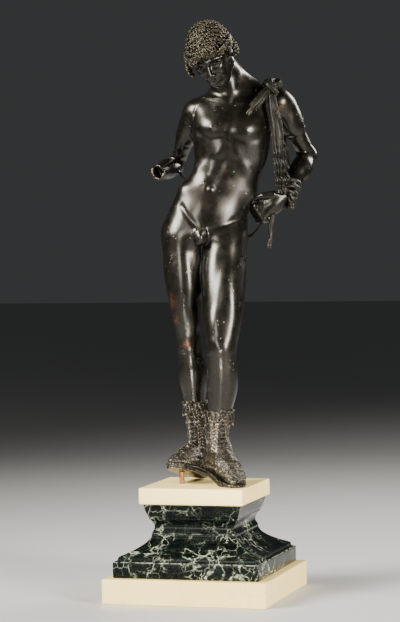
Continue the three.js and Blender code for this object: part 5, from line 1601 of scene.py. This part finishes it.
def square_stack(profile, corner, chips):
    """Rounded squares stacked through a profile of (half side, height): a closed block. The side
    walls are a grid of height against way round; chips(points) wears its edges."""
    a = linspace(0, TAU / 4, CORNER_STEPS + 1)
    arc = stack([cos(a), sin(a)], 1)
    line = linspace(0, 1, FACE_STEPS + 1)[1:-1]
    rings = []
    for half, z in profile:
        inner = half - corner
        face = stack([mix(inner, -inner, line), full(len(line), half)], 1)
        quarter = concatenate([inner + corner * arc, face])
        turned = [quarter @ np.array([[c, s], [-s, c]]) for c, s in ((1, 0), (0, 1), (-1, 0), (0, -1))]
        ring = concatenate(turned)
        rings.append(np.column_stack([ring, full(len(ring), z)]))
    # The flat ends shrink to the middle in three rings so that their patterns stay even.
    low = [rings[0] * (k, k, 1) for k in END_RINGS[::-1]]
    high = [rings[-1] * (k, k, 1) for k in END_RINGS]
    grid = np.array(low + rings + high)
    poles = [[0, 0, profile[0, 1]], [0, 0, profile[-1, 1]]]
    return concatenate([chips(grid.reshape(-1, 3)), poles]), *net(len(grid), grid.shape[1])


def worn_edges(seed, half, heights):
    """Small random nicks, each a soft dent, at places along the block's edges."""
    rng = np.random.default_rng(seed)
    spots = []
    for z in heights:
        along = rng.uniform(-half, half, NICKS)
        face = rng.integers(0, 4, NICKS)
        ahead = full(NICKS, half)
        x = np.choose(face, [ahead, -ahead, along, along])
        y = np.choose(face, [along, along, ahead, -ahead])
        spots.append(stack([x, y, full(NICKS, z)], 1))
    spots = concatenate(spots)
    size = rng.uniform(1.2, 3.2, len(spots))
    deep = NICK_DEPTH * rng.uniform(0.2, 1, len(spots))

    def wear(points):
        moved = points.copy()
        for spot, s, k in zip(spots, size, deep):
            near = np.all(np.abs(points - spot) < 3 * s, axis=1)
            q = points[near]
            dent = k * np.exp(-np.sum(((q - spot) / s) ** 2, axis=1))
            moved[near] -= dent[:, None] * unit(q * (1, 1, 0))
        return moved

    return wear


def slab_profile(half, low, high, soft):
    """A slab's wall from the underside up, both edges rounded by the same softening."""
    a = linspace(0, TAU / 4, CORNER_STEPS + 1)
    foot = stack([half - soft * (1 - sin(a)), low + soft * (1 - cos(a))], 1)
    wall = stack([full(4, half), linspace(low + soft, high - soft, 6)[1:-1]], 1)
    head = stack([half - soft * (1 - cos(a)), high - soft * (1 - sin(a))], 1)
    return concatenate([foot, wall, head])


def socle_profile():
    """The socle's moulding: plinth block, low step, deep hollow, neck fillet, neck, swelling head."""
    low = BASE_HEIGHT + FIT_GAP
    top = GROUND - TOP_HEIGHT - FIT_GAP
    plinth = [
        [99.2, low], [99.9, low + 0.7], [100, low + 4], [100, 48], [100, 53.6], [99.8, 54.6], [99.2, 55.2],
        [98.2, 55.5], [96, 55.9], [95, 56.3], [94.6, 57.2], [94.5, 59.6], [94.2, 60.4], [93.5, 60.9],
    ]
    s = linspace(0, 1, 26)
    hollow = stack([58.2 + 34.3 * (1 - s) ** 1.85, mix(61.6, 87.5, s)], 1)
    fillet = [[58.3, 87.9], [58.4, 88.2], [58.2, 88.6], [57.0, 92.1], [56.6, 92.6], [55.8, 93.5]]
    neck = [[55.2, 95.5], [55, 98], [55.2, 100]]
    head = [
        [55.6, 101.2], [56.7, 103], [58.1, 105.6], [59.6, 107.3], [60.5, 107.9], [60.8, 108.5],
        [60.6, 109.1], [60.7, 109.7], [61.3, 110.7], [62.6, 113.4], [63.9, 116.8], [65, 120.4],
        [65.8, 123.6], [66.2, 125.4], [66.4, 126.2], [66.4, top - 0.9], [66.1, top - 0.3], [65.4, top],
    ]
    return concatenate([plinth, hollow, fillet, neck, head])


def painted_edge_highlights(points):
    """Marks the heights of the socle's two sharp edges for a painted highlight: pale lines that stand in for
    light caught on the plinth's top edge and on the neck fillet.
    """
    lower, upper = (bell(points[:, 2] - height, 0.6) for height in (54.9, 88.3))
    return lower + 0.6 * upper


def flat_place(points):
    """From mm in the object's frame to metres."""
    return asarray(points, float) / 1000.0


def support_peg():
    """A turned pin under the ball of the right foot: a foot ring, a slightly waisted shank and a
    head that is cut to the sole's slope, with hammer marks round it."""
    at = RIGHT_FOOT.outward([-1, 66, 0])
    up = RIGHT_FOOT.axes[2]
    rows, sides = 30, 40
    t = linspace(0, 1, rows)[:, None]
    a = once_round(sides)[None]
    places = [0, 0.05, 0.16, 0.2, 0.5, 0.86, 0.94, 1]
    radius = interp(t, places, [3.3, 3.7, 3.7, 3.5, 3.3, 3.45, 3.7, 3.6])
    radius = radius * (1 + 0.018 * sin(5 * a + 17 * t) + 0.012 * sin(11 * a - 29 * t))
    x, y = radius * cos(a), radius * sin(a)
    high = at[2] - FIT_GAP - (up[0] * x + up[1] * y) / up[2]
    grid = stack([at[0] + x, at[1] + y, FIT_GAP + t * (high - FIT_GAP)], -1)
    poles = [[at[0], at[1], z] for z in (FIT_GAP, at[2] - FIT_GAP)]
    return concatenate([grid.reshape(-1, 3), poles]), *net(rows, sides)


# Materials


class Graph:
    """A node tree with short ways to add nodes; a socket given as an input is linked."""

    def __init__(self, tree):
        self.tree = tree

    def add(self, kind, inputs=None, **settings):
        made = self.tree.nodes.new(kind)
        for key, value in settings.items():
            setattr(made, key, value)
        for key, value in (inputs or {}).items():
            self.feed(made.inputs[key], value)
        return made

    def feed(self, socket, value):
        if isinstance(value, bpy.types.NodeSocket):
            self.tree.links.new(value, socket)
        else:
            socket.default_value = value

    def math(self, operation, a, b, clamp=False):
        return self.add("ShaderNodeMath", {0: a, 1: b}, operation=operation, use_clamp=clamp).outputs[0]

    def times(self, a, b):
        return self.math("MULTIPLY", a, b)

    def plus(self, a, b, clamp=False):
        return self.math("ADD", a, b, clamp)

    def less(self, a, b, clamp=False):
        return self.math("SUBTRACT", a, b, clamp)

    def vectors(self, operation, a, b):
        return self.add("ShaderNodeVectorMath", {0: a, 1: b}, operation=operation).outputs

    def span(self, value, low, high, to_low=0.0, to_high=1.0):
        """Maps low..high to 0..1 or to the given span, with soft ends."""
        ends = {0: value, 1: low, 2: high, 3: to_low, 4: to_high}
        return self.add("ShaderNodeMapRange", ends, interpolation_type="SMOOTHSTEP").outputs[0]

    def blend(self, share, under, over):
        """Lays one colour over another by a share."""
        return self.add("ShaderNodeMix", {0: share, 6: under, 7: over}, data_type="RGBA").outputs[2]

    def noise(self, where, scale, detail, rough=0.55, distortion=0.0):
        return self.add("ShaderNodeTexNoise", {
            "Vector": where, "Scale": scale, "Detail": detail, "Roughness": rough, "Distortion": distortion,
        }).outputs

    def cells(self, where, scale, feature="F1"):
        given = {"Vector": where, "Scale": scale}
        return self.add("ShaderNodeTexVoronoi", given, feature=feature).outputs["Distance"]

    def place(self):
        return self.add("ShaderNodeTexCoord").outputs["Object"]

    def crest(self):
        """The mark that the meshes carry: how far a place stands proud."""
        return self.add("ShaderNodeAttribute", attribute_name="crest").outputs["Fac"]

    def effect(self, name, where, **inputs):
        """Places a shared effect, which is made when it is first asked for."""
        tree = bpy.data.node_groups.get(name) or shared_effect(name, *EFFECTS[name])
        return self.add("ShaderNodeGroup", {"Where": where, **inputs}, node_tree=tree).outputs

    def finish(self, height, distance, **inputs):
        """Closes a material: height to a Bump, everything to one Principled shader and the output."""
        bump = self.add("ShaderNodeBump", {"Strength": 1.0, "Distance": distance, "Height": height})
        inputs = {key.replace("_", " "): value for key, value in inputs.items()}
        shader = self.add("ShaderNodeBsdfPrincipled", {**inputs, "Normal": bump.outputs[0]})
        self.add("ShaderNodeOutputMaterial", {"Surface": shader.outputs[0]})


def shared_effect(name, inputs, outputs, fill):
    """A shared node group: fill(graph, inputs) draws what is inside and returns its outputs."""
    tree = bpy.data.node_groups.new(name, "ShaderNodeTree")
    tree.interface.new_socket("Where", in_out="INPUT", socket_type="NodeSocketVector")
    for key, value in inputs.items():
        socket = tree.interface.new_socket(key, in_out="INPUT", socket_type="NodeSocketFloat")
        socket.default_value = value
    for key in outputs:
        tree.interface.new_socket(key, in_out="OUTPUT", socket_type="NodeSocketFloat")
    graph = Graph(tree)
    start, end = graph.add("NodeGroupInput"), graph.add("NodeGroupOutput")
    for key, made in zip(outputs, fill(graph, start.outputs)):
        graph.feed(end.inputs[key], made)
    return tree


def casting_pits(graph, given):
    """Sparse small pits and pin-holes: cells whose middles are kept only where a broad noise allows."""
    near = graph.cells(given["Where"], given["Scale"])
    broad = graph.noise(given["Where"], graph.times(given["Scale"], 0.31), 3)[0]
    spot = graph.times(graph.span(near, given["Size"], 0.0), graph.span(broad, 0.52, 0.66))
    return spot, graph.times(spot, -1.0)


def patina_clouds(graph, given):
    """Cloudy patches at two sizes, as of a patina that lies uneven."""
    broad = graph.noise(given["Where"], given["Scale"], 5, 0.6, 0.4)[0]
    fine = graph.noise(given["Where"], graph.times(given["Scale"], 6.0), 6, 0.65)[0]
    together = graph.plus(graph.times(broad, 0.65), graph.times(fine, 0.35))
    return graph.span(together, 0.34, 0.66), fine


def rubbed_crests(graph, given):
    """Where hands and cloths have rubbed: crests that stand proud, broken up by noise; and hollows."""
    broken = graph.times(graph.less(graph.noise(given["Where"], 430.0, 3)[0], 0.5), 0.35)
    height = graph.plus(graph.times(graph.crest(), given["Gain"]), broken)
    crests = graph.span(height, given["From"], graph.plus(given["From"], 0.55))
    return crests, graph.span(height, graph.less(0.0, given["From"]), -0.9)


def stone_veins(graph, given):
    """Thin wandering veins: the walls between warped cells, kept in drifts."""
    where, scale = given["Where"], given["Scale"]
    warp = graph.noise(where, graph.times(scale, 0.8), 5, 0.6)["Color"]
    shift = graph.vectors("SUBTRACT", warp, (0.5, 0.5, 0.5))[0]
    pull = graph.add("ShaderNodeVectorMath", {0: shift, "Scale": given["Warp"]}, operation="SCALE")
    wall = graph.cells(graph.vectors("ADD", where, pull.outputs[0])[0], scale, "DISTANCE_TO_EDGE")
    drift = graph.span(graph.noise(where, graph.times(scale, 0.45), 4)[0], 0.42, 0.6)
    return graph.times(graph.span(wall, given["Width"], 0.0), drift), drift


EFFECTS = {
    "Casting pits": ({"Scale": 260.0, "Size": 0.16}, ("Mask", "Height"), casting_pits),
    "Patina clouds": ({"Scale": 14.0}, ("Clouds", "Fine"), patina_clouds),
    "Rubbed crests": ({"Gain": 1.0, "From": 0.2}, ("Crests", "Hollows"), rubbed_crests),
    "Stone veins": ({"Scale": 30.0, "Warp": 0.05, "Width": 0.03}, ("Veins", "Drift"), stone_veins),
}


def material(name):
    """A new material and the graph that fills it."""
    made = bpy.data.materials.new(name)
    made.use_nodes = True
    made.node_tree.nodes.clear()
    return made, Graph(made.node_tree)


def solid(colour, share=1.0):
    """A colour in four parts as a shader takes it, times a share."""
    return (*(float(c) for c in np.multiply(colour, share)), 1.0)


class Patina(NamedTuple):
    """One bronze finish. Colours are named as the settings name them."""

    dark: str
    pale: str
    roughness: float
    bump: float
    crests: float  # how far crests turn pale
    gain: float = 0.9  # how strongly crest marks count
    start: float = 0.1  # the mark at which a crest starts
    creases: float = 0.0  # how far cracks between small scales darken the crests
    painted_highlight_heights: tuple = ()  # metres: a painted highlight on the toe tops, crests fully pale below the first height and little above the second
    metal: float = 0.75
    pits: float = 0.5
    spots: float = 0.0  # how far the most touched places are rubbed
    wax: float = 0.2


PATINAS = {
    "nude_bronze": Patina("bronze", "bronze_pale", 0.31, 0.00014, 0.15, gain=2.0, start=0.5, metal=0.8,
                          pits=0.8, spots=0.55, wax=1.0),
    "hair_bronze": Patina("hair_bronze", "hair_pale", 0.42, 0.00016, 0.7),
    "hide_bronze": Patina("bronze", "bronze_pale", 0.55, 0.0002, 0.25, creases=0.3),
    "boot_bronze": Patina("rough_bronze", "boot_pale", 0.32, 0.0004, 1.0, gain=1.0, creases=0.75,
                          painted_highlight_heights=(0.182, 0.206)),
}

# The places that are touched most, with radii, in mm: knee, elbow, shoulder, neck, belly, navel,
# stump and two on the thigh.
RUB_SPOTS = (
    ((-20, 20, 187), 11), ((156, 92, 444), 9), ((112, 26, 506), 9), ((58, 32, 545), 7),
    ((34, 0, 420), 10), ((14, 2, 397), 6), ((-57, 56, 419), 10), ((-42, 20, 246), 17), ((-40, 18, 222), 13),
)


def worn_spots(graph, where):
    """Round soft patches at the places that are touched most, fully worn within a seventh of the radius."""
    total = None
    for centre, radius in RUB_SPOTS:
        away = graph.vectors("DISTANCE", where, tuple(on_the_base(centre)))["Value"]
        spot = graph.span(away, radius / 1000, radius / 7000)
        total = spot if total is None else graph.math("MAXIMUM", total, spot)
    return total


def bronze(name, look):
    """Patinated bronze: cloudy dark ground, paler worn crests, dirt in hollows, pits, red-brown rubs. Where
    the finish gives heights, crests are also paler low down as a painted highlight.
    """
    if name in bpy.data.materials:
        return bpy.data.materials[name]
    patina = PATINAS[name]
    dark, pale = getattr(look, patina.dark), getattr(look, patina.pale)
    made, graph = material(name)
    where = graph.place()
    clouds, fine = graph.effect("Patina clouds", where, Scale=16.0)
    crests, hollows = graph.effect("Rubbed crests", where, Gain=patina.gain, From=patina.start)
    pits, pit_height = graph.effect("Casting pits", where, Scale=190.0, Size=0.25)
    ground = graph.blend(clouds, solid(dark), solid(dark, 1.9))
    ground = graph.blend(graph.times(hollows, 0.75), ground, solid(dark, 0.35))
    cracks = graph.cells(where, 210.0, "DISTANCE_TO_EDGE")
    scales = graph.span(cracks, 0.0, 0.2, 1.0 - patina.creases, 1.0)
    crest = graph.times(graph.times(crests, patina.crests), scales)
    # Painted highlight: crests turn paler low down, where the toe tops catch the light from above, and fade
    # up the shaft.
    if patina.painted_highlight_heights:
        up = graph.add("ShaderNodeSeparateXYZ", {0: where}).outputs[2]
        crest = graph.times(crest, graph.span(up, *patina.painted_highlight_heights, 1.0, 0.3))
    ground = graph.blend(crest, ground, solid(pale))
    worn = graph.times(worn_spots(graph, where), patina.spots)
    ground = graph.blend(graph.times(worn, graph.span(fine, 0.36, 0.62)), ground, solid(look.rub_colour))
    speck = graph.times(pits, patina.pits)
    ground = graph.blend(speck, ground, solid(look.speck_colour))
    rough = graph.span(fine, 0.3, 0.7, patina.roughness * 0.8, patina.roughness * 1.25)
    rough = graph.plus(rough, graph.times(hollows, 0.2))
    rough = graph.plus(rough, graph.times(speck, 0.3), clamp=True)
    metal = graph.less(patina.metal, graph.times(speck, 0.6), clamp=True)
    scratches = graph.noise(where, 900.0, 2)[0]
    height = graph.plus(graph.times(fine, 0.6), graph.times(scratches, 0.25))
    height = graph.plus(graph.plus(height, pit_height), scales)
    graph.finish(height, patina.bump, Base_Color=ground, Roughness=rough, Metallic=metal,
                 Coat_Weight=look.wax * patina.wax, Coat_Roughness=0.22)
    return made


def cream_marble(look):
    """Honed cream marble: warm clouds, hairline veins, yellowed patches, a little grime, fine grain."""
    made, graph = material("cream_marble")
    where = graph.place()
    clouds, fine = graph.effect("Patina clouds", where, Scale=9.0)
    veins = graph.effect("Stone veins", where, Scale=16.0, Warp=0.06, Width=0.035)["Veins"]
    pits, pit_height = graph.effect("Casting pits", where, Scale=150.0, Size=0.16)
    crests = graph.effect("Rubbed crests", where)["Crests"]
    colour = graph.blend(clouds, solid(look.cream), solid(look.cream, (0.97, 0.93, 0.82)))
    for mask, share, over in (
        (veins, 0.3, (0.56, 0.47, 0.33)),
        (pits, 0.5, (0.32, 0.27, 0.2)),
        (crests, 0.35, (0.5, 0.4, 0.26)),
    ):
        colour = graph.blend(graph.times(mask, share), colour, solid(over))
    height = graph.plus(graph.times(fine, 0.5), pit_height)
    graph.finish(height, 0.00012, Base_Color=colour, Roughness=graph.span(fine, 0.3, 0.7, 0.34, 0.5),
                 Subsurface_Weight=0.08, Subsurface_Radius=(0.004, 0.003, 0.002), Subsurface_Scale=1.0)
    return made


def green_marble(look):
    """Polished near-black green marble: broken pale veins in drifts, with a halo, on cloudy greens."""
    made, graph = material("green_marble")
    where = graph.place()
    clouds, fine = graph.effect("Patina clouds", where, Scale=20.0)
    colour = graph.blend(clouds, solid(look.green_dark), solid(look.green_mid))
    for scale, warp, width, share, over in (
        (30.0, 0.045, 0.09, 0.35, look.halo),
        (190.0, 0.012, 0.04, 0.07, look.vein_and_edge_highlight),
        (62.0, 0.03, 0.03, 0.65, look.vein_and_edge_highlight),
        (30.0, 0.045, 0.036, graph.span(fine, 0.4, 0.58), look.vein_and_edge_highlight),
    ):
        veins = graph.effect("Stone veins", where, Scale=scale, Warp=warp, Width=width)["Veins"]
        colour = graph.blend(graph.times(veins, share), colour, solid(over))
    # Painted highlight: pale broken lines on the socle's two sharp edges, standing in for light caught
    # there.
    edge_highlight = graph.times(graph.span(graph.crest(), 0.2, 1.0, 0.0, 0.6), graph.span(fine, 0.38, 0.62))
    colour = graph.blend(edge_highlight, colour, solid(look.vein_and_edge_highlight))
    graph.finish(graph.times(fine, 0.4), 0.00006, Base_Color=colour,
                 Roughness=graph.span(fine, 0.3, 0.7, 0.12, 0.24), Specular_IOR_Level=0.12)
    return made


def peg_metal(look):
    """Tarnished orange-brown metal with brushed streaks and dark spots."""
    made, graph = material("peg_metal")
    where = graph.place()
    clouds, fine = graph.effect("Patina clouds", where, Scale=120.0)
    stretched = graph.add("ShaderNodeMapping", {"Vector": where, "Scale": (1.0, 1.0, 0.12)}).outputs[0]
    streaks = graph.noise(stretched, 900.0, 3)[0]
    colour = graph.blend(clouds, solid(look.peg), solid(look.peg, 0.45))
    bright = graph.times(graph.span(streaks, 0.45, 0.7), 0.4)
    colour = graph.blend(bright, colour, (0.62, 0.36, 0.18, 1.0))
    graph.finish(graph.plus(streaks, fine), 0.0001, Base_Color=colour,
                 Roughness=graph.span(streaks, 0.3, 0.7, 0.34, 0.55), Metallic=0.6)
    return made


# What a user may change


def amount(name, description, default, low=0.0, **more):
    return FloatProperty(name=name, description=description, default=default, min=low, **more)


def angle(name, description, degrees):
    return FloatProperty(name=name, description=description, default=math.radians(degrees), subtype="ANGLE")


def number(name, description, default, low=0, high=1000):
    return IntProperty(name=name, description=description, default=default, min=low, max=high)


def colour(name, description, default):
    return FloatVectorProperty(name=name, description=description, default=default, subtype="COLOR", min=0.0,
                               max=1.0)


class FigureSizes(PropertyGroup):
    """Sizes of the figure's pieces."""

    body_cell: amount("Body cell", "Size of a quad on the nude body, mm", 1.7, 1.2, max=6.0)
    head_cell: amount("Head cell", "Size of a quad on the head and hand, mm", 0.8, 0.6, max=4.0)
    foot_cell: amount("Foot cell", "Size of a quad on the booted feet, mm", 0.85, 0.7, max=4.0)
    curls: number("Curls", "Curls strewn over a whole sphere", 400, 50, 900)
    curl_radius: amount("Curl radius", "Outer radius of a curl, mm", 3.3, 1.0, max=8.0)
    berries: number("Berries", "Berries in each side bunch of the wreath", 19, 3, 60)
    edge_softening: amount("Edge softening", "Rounding of the marble slabs' edges", 0.0016, max=0.01,
                           unit="LENGTH")
    seed: number("Seed", "Seed of everything strewn", 11)


class Finishes(PropertyGroup):
    """Colours and gloss of the surfaces."""

    bronze: colour("Bronze", "Dark ground of the patina", (0.0125, 0.0107, 0.0075))
    bronze_pale: colour("Rubbed bronze", "Rubbed crests of body and hide", (0.085, 0.074, 0.052))
    rough_bronze: colour("Boots", "Ground of the boots", (0.021, 0.0182, 0.013))
    boot_pale: colour("Pale boots", "Crests of the boots", (0.62, 0.53, 0.39))
    hair_bronze: colour("Hair", "Ground of hair and wreath", (0.031, 0.0275, 0.0175))
    hair_pale: colour("Pale hair", "Crests of hair and wreath", (0.13, 0.113, 0.072))
    rub_colour: colour("Red-brown wear", "Metal at the most touched places", (0.3, 0.115, 0.05))
    speck_colour: colour("Pits", "Pale dust in the casting pits", (0.34, 0.33, 0.28))
    wax: amount("Wax", "Weight of the waxed coat", 0.5, max=1.0, subtype="FACTOR")
    cream: colour("Cream marble", "Ground of the two cream slabs", (1.0, 0.79, 0.32))
    green_dark: colour("Green marble, dark", "Darkest ground of the socle", (0.0006, 0.001, 0.0008))
    green_mid: colour("Green marble, mid", "Cloudy green of the socle", (0.002, 0.0048, 0.0034))
    halo: colour("Vein halo", "Pale green beside the broad veins", (0.03, 0.045, 0.034))
    # Also the colour of the painted highlight along the socle's sharp edges.
    vein_and_edge_highlight: colour("Veins", "Veins of the socle", (0.44, 0.48, 0.37))
    peg: colour("Peg", "Orange-brown metal of the peg", (0.42, 0.165, 0.045))


class Studio(PropertyGroup):
    """Camera, lights and floor."""

    lens: amount("Lens", "Focal length", 137.6, 20.0, unit="CAMERA")
    distance: amount("Distance", "Camera to the object's middle", 3.2, 0.5, unit="LENGTH")
    elevation: angle("Elevation", "Camera's height angle", 2.02)
    roll: angle("Roll", "Camera's roll", -0.93)
    key: amount("Key light", "Power of the large soft light", 37.0, unit="POWER")
    front: amount("Front light", "Power of the light beside the camera", 2.3, unit="POWER")
    fill: amount("Fill light", "Power of the light from the right", 16.0, unit="POWER")
    rim: amount("Rim light", "Power of the light from behind", 16.0, unit="POWER")
    low: amount("Low light", "Power of the small light before the shins", 0.19, unit="POWER")
    light_colour: colour("Light colour", "Tint of every studio light", (1.0, 0.96, 0.89))
    ambient: amount("Ambient", "Strength of the even light", 0.045)
    floor_colour: colour("Floor", "The plain pale floor", (0.5, 0.5, 0.5))


class Settings(PropertyGroup):
    sizes: PointerProperty(type=FigureSizes)
    finishes: PointerProperty(type=Finishes)
    studio: PointerProperty(type=Studio)


# Operators


def dress(piece, finish, node):
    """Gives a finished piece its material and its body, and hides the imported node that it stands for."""
    piece.data.materials.clear()
    piece.data.materials.append(finish)
    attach(piece, "root")
    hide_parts(node)


class FIGURE_OT_body(Operator):
    """Build the nude body from its field, with the broken right forearm"""

    bl_idname = "figure.body"
    bl_label = "Nude body"

    def execute(self, context):
        given = context.scene.figure
        piece = field_piece("nude_body", trunk_field, [-90, -60, 34], [180, 130, 590], given.sizes.body_cell)
        dress(piece, bronze("nude_bronze", given.finishes), "bronze_figure")
        return {"FINISHED"}


class FIGURE_OT_head(Operator):
    """Build the bare head and upper neck"""

    bl_idname = "figure.head"
    bl_label = "Head"

    def execute(self, context):
        given = context.scene.figure
        cell = given.sizes.head_cell
        piece = field_piece("bare_head", head_field, [-40, -60, 510], [80, 75, 640], cell, 3)
        dress(piece, bronze("nude_bronze", given.finishes), "bronze_figure")
        return {"FINISHED"}


class FIGURE_OT_hand(Operator):
    """Build the left hand on the hip"""

    bl_idname = "figure.hand"
    bl_label = "Left hand"

    def execute(self, context):
        given = context.scene.figure
        piece = field_piece("left_hand", hand_field, [55, 5, 335], [140, 70, 405], given.sizes.head_cell, 3)
        dress(piece, bronze("nude_bronze", given.finishes), "bronze_figure")
        return {"FINISHED"}


class FIGURE_OT_hair(Operator):
    """Build the curls and the wreath"""

    bl_idname = "figure.hair"
    bl_label = "Hair and wreath"

    def execute(self, context):
        given = context.scene.figure
        sizes = given.sizes
        finish = bronze("hair_bronze", given.finishes)
        hair = hair_curls(sizes.curls, sizes.curl_radius, sizes.seed)
        dress(hair.put("hair_curls"), finish, "bronze_figure")
        wreath = wreath_bundle(sizes.berries, sizes.seed + 1)
        dress(wreath.put("wreath"), finish, "bronze_figure")
        return {"FINISHED"}


class FIGURE_OT_hide(Operator):
    """Build the animal skin with its knot, windings and hooves"""

    bl_idname = "figure.hide"
    bl_label = "Animal skin"

    def execute(self, context):
        given = context.scene.figure
        hide = animal_skin(given.sizes.seed + 2)
        dress(hide.put("animal_skin"), bronze("hide_bronze", given.finishes), "bronze_figure")
        return {"FINISHED"}


class FIGURE_OT_boots(Operator):
    """Build the booted feet and the laced shafts"""

    bl_idname = "figure.boots"
    bl_label = "Boots"

    def execute(self, context):
        given = context.scene.figure
        finish = bronze("boot_bronze", given.finishes)
        feet = field_piece("booted_feet", feet_field, [-60, -100, -2], [80, 90, 66], given.sizes.foot_cell)
        dress(feet, finish, "bronze_figure")
        for name, shaft in (
            ("right_boot", Shaft(RIGHT_KNEE, RIGHT_ANKLE, 107, -0.35, RIGHT_LEG_COLUMN, RIGHT_FOOT)),
            ("left_boot", Shaft(LEFT_KNEE, LEFT_ANKLE, 97, 0.35, LEFT_LEG_COLUMN, LEFT_FOOT)),
        ):
            dress(boot(shaft, given.sizes.seed + 3).put(name), finish, "bronze_figure")
        return {"FINISHED"}


class FIGURE_OT_peg(Operator):
    """Build the metal peg under the right foot"""

    bl_idname = "figure.peg"
    bl_label = "Peg"

    def execute(self, context):
        peg = Bundle()
        peg.add(*support_peg())
        dress(peg.put("metal_peg"), peg_metal(context.scene.figure.finishes), "support_peg")
        return {"FINISHED"}


class FIGURE_OT_plinth(Operator):
    """Build the two cream slabs and the green socle"""

    bl_idname = "figure.plinth"
    bl_label = "Plinth"

    def execute(self, context):
        given = context.scene.figure
        soft = given.sizes.edge_softening * 1000.0
        cream, green = cream_marble(given.finishes), green_marble(given.finishes)
        low_slab = slab_profile(BASE_SIDE / 2, 0, BASE_HEIGHT, soft)
        top_slab = slab_profile(TOP_SIDE / 2, GROUND - TOP_HEIGHT, GROUND, soft)
        for k, (name, profile, corner, finish, node) in enumerate((
            ("cream_slab_low", low_slab, 2.0, cream, "base_slab"),
            ("green_block", socle_profile(), 1.0, green, "green_socle"),
            ("cream_slab_top", top_slab, 1.6, cream, "top_slab"),
        )):
            wear = worn_edges(given.sizes.seed + 20 + k, profile[:, 0].max(), profile[[0, -1], 1])
            block = Bundle()
            points, quads, triangles = square_stack(profile, corner, wear)
            # The green block carries painted highlight marks along its two sharp edges.
            block.add(points, quads, triangles, painted_edge_highlights(points) if finish == green else 0.0)
            dress(block.put(name, flat_place), finish, node)
        return {"FINISHED"}


class FIGURE_OT_studio(Operator):
    """Set the floor, the soft lights, the world and the camera"""

    bl_idname = "figure.studio"
    bl_label = "Studio"

    def execute(self, context):
        given = context.scene.figure.studio
        pale_floor(context, given)
        soft_lights(context, given)
        place_camera(context, given)
        return {"FINISHED"}


FLOOR_REACH = 12.0
MIDDLE = vec(0.01, 0, 0.45)

# Each light's place, what it is aimed at, its two sizes and the spread of its beam in degrees.
LIGHTS = {
    "key": ((-1.75, -1.6, 1.9), MIDDLE, (1.3, 1.3), 60),
    "front": ((-0.55, -2.9, 0.8), MIDDLE, (0.7, 1.5), 36),
    "fill": ((2.0, -1.3, 0.75), vec(0.05, 0, 0.1), (0.5, 1.2), 60),
    "rim": ((1.2, 1.8, 1.6), MIDDLE, (0.8, 1.2), 90),
    "low": ((0.12, -0.78, 0.05), vec(0.045, 0, 0.24), (0.16, 0.08), 20),
}


def pale_floor(context, given):
    """A wide plain floor with a faint grain."""
    mesh = bpy.data.meshes.new("floor")
    corners = [(x * FLOOR_REACH, y * FLOOR_REACH, 0) for x, y in ((-1, -1), (1, -1), (1, 1), (-1, 1))]
    mesh.from_pydata(corners, [], [(0, 1, 2, 3)])
    floor = bpy.data.objects.new("floor", mesh)
    context.scene.collection.objects.link(floor)
    made, graph = material("pale_floor")
    grain = graph.noise(graph.place(), 60.0, 3)[0]
    graph.finish(grain, 0.00005, Base_Color=solid(given.floor_colour), Roughness=0.6)
    mesh.materials.append(made)


def soft_lights(context, given):
    """The even light of the world and one area light for each entry of the table."""
    world = bpy.data.worlds.new("studio")
    world.use_nodes = True
    even = world.node_tree.nodes["Background"].inputs
    even["Color"].default_value = (0.86, 0.88, 0.9, 1.0)
    even["Strength"].default_value = given.ambient
    context.scene.world = world
    for name, (at, aim, size, spread) in LIGHTS.items():
        data = bpy.data.lights.new(f"{name}_light", "AREA")
        data.shape = "RECTANGLE"
        data.size, data.size_y = size
        data.spread = math.radians(spread)
        data.energy = getattr(given, name)
        data.color = given.light_colour
        light = bpy.data.objects.new(data.name, data)
        light.location = at
        light.rotation_mode = "QUATERNION"
        light.rotation_quaternion = Vector(aim - vec(*at)).to_track_quat("-Z", "Y")
        context.scene.collection.objects.link(light)


def place_camera(context, given):
    """The camera stands at the photo's angle, with its picture's middle at the object's."""
    data = bpy.data.cameras.new("camera")
    data.lens = given.lens
    data.sensor_width = 36.0
    data.clip_start, data.clip_end = 0.05, 60.0
    camera = bpy.data.objects.new("camera", data)
    turn, rise = FIGURE_TURN, given.elevation
    back = vec(math.sin(turn) * math.cos(rise), -math.cos(turn) * math.cos(rise), math.sin(rise))
    right = vec(math.cos(turn), math.sin(turn), 0)
    up = np.cross(back, right)
    c, s = math.cos(given.roll), math.sin(given.roll)
    at = vec(0, 0, 0.383) + back * given.distance + right * -0.003
    axes = np.column_stack([c * right + s * up, c * up - s * right, back, at])
    camera.matrix_world = Matrix([*axes.tolist(), [0, 0, 0, 1]])
    context.scene.collection.objects.link(camera)
    context.scene.camera = camera


BUILDERS = (
    FIGURE_OT_studio, FIGURE_OT_body, FIGURE_OT_head, FIGURE_OT_hand, FIGURE_OT_hair, FIGURE_OT_hide,
    FIGURE_OT_boots, FIGURE_OT_peg, FIGURE_OT_plinth,
)


class FIGURE_PT_panel(Panel):
    """Lists the figure's builders and their settings"""

    bl_idname = "FIGURE_PT_panel"
    bl_label = "Bronze figure"
    bl_space_type = "VIEW_3D"
    bl_region_type = "UI"
    bl_category = "Figure"

    def draw(self, context):
        layout = self.layout
        for builder in BUILDERS:
            layout.operator(builder.bl_idname)
        given = context.scene.figure
        for group in (given.sizes, given.finishes, given.studio):
            box = layout.box()
            for key in group.__annotations__:
                box.prop(group, key)


CLASSES = (FigureSizes, Finishes, Studio, Settings, *BUILDERS, FIGURE_PT_panel)


def register():
    for kind in CLASSES:
        bpy.utils.register_class(kind)
    bpy.types.Scene.figure = PointerProperty(type=Settings)


def unregister():
    del bpy.types.Scene.figure
    for kind in reversed(CLASSES):
        bpy.utils.unregister_class(kind)


def main():
    register()
    for builder in BUILDERS:
        group, name = builder.bl_idname.split(".")
        getattr(getattr(bpy.ops, group), name)()


if __name__ == "__main__":
    main()
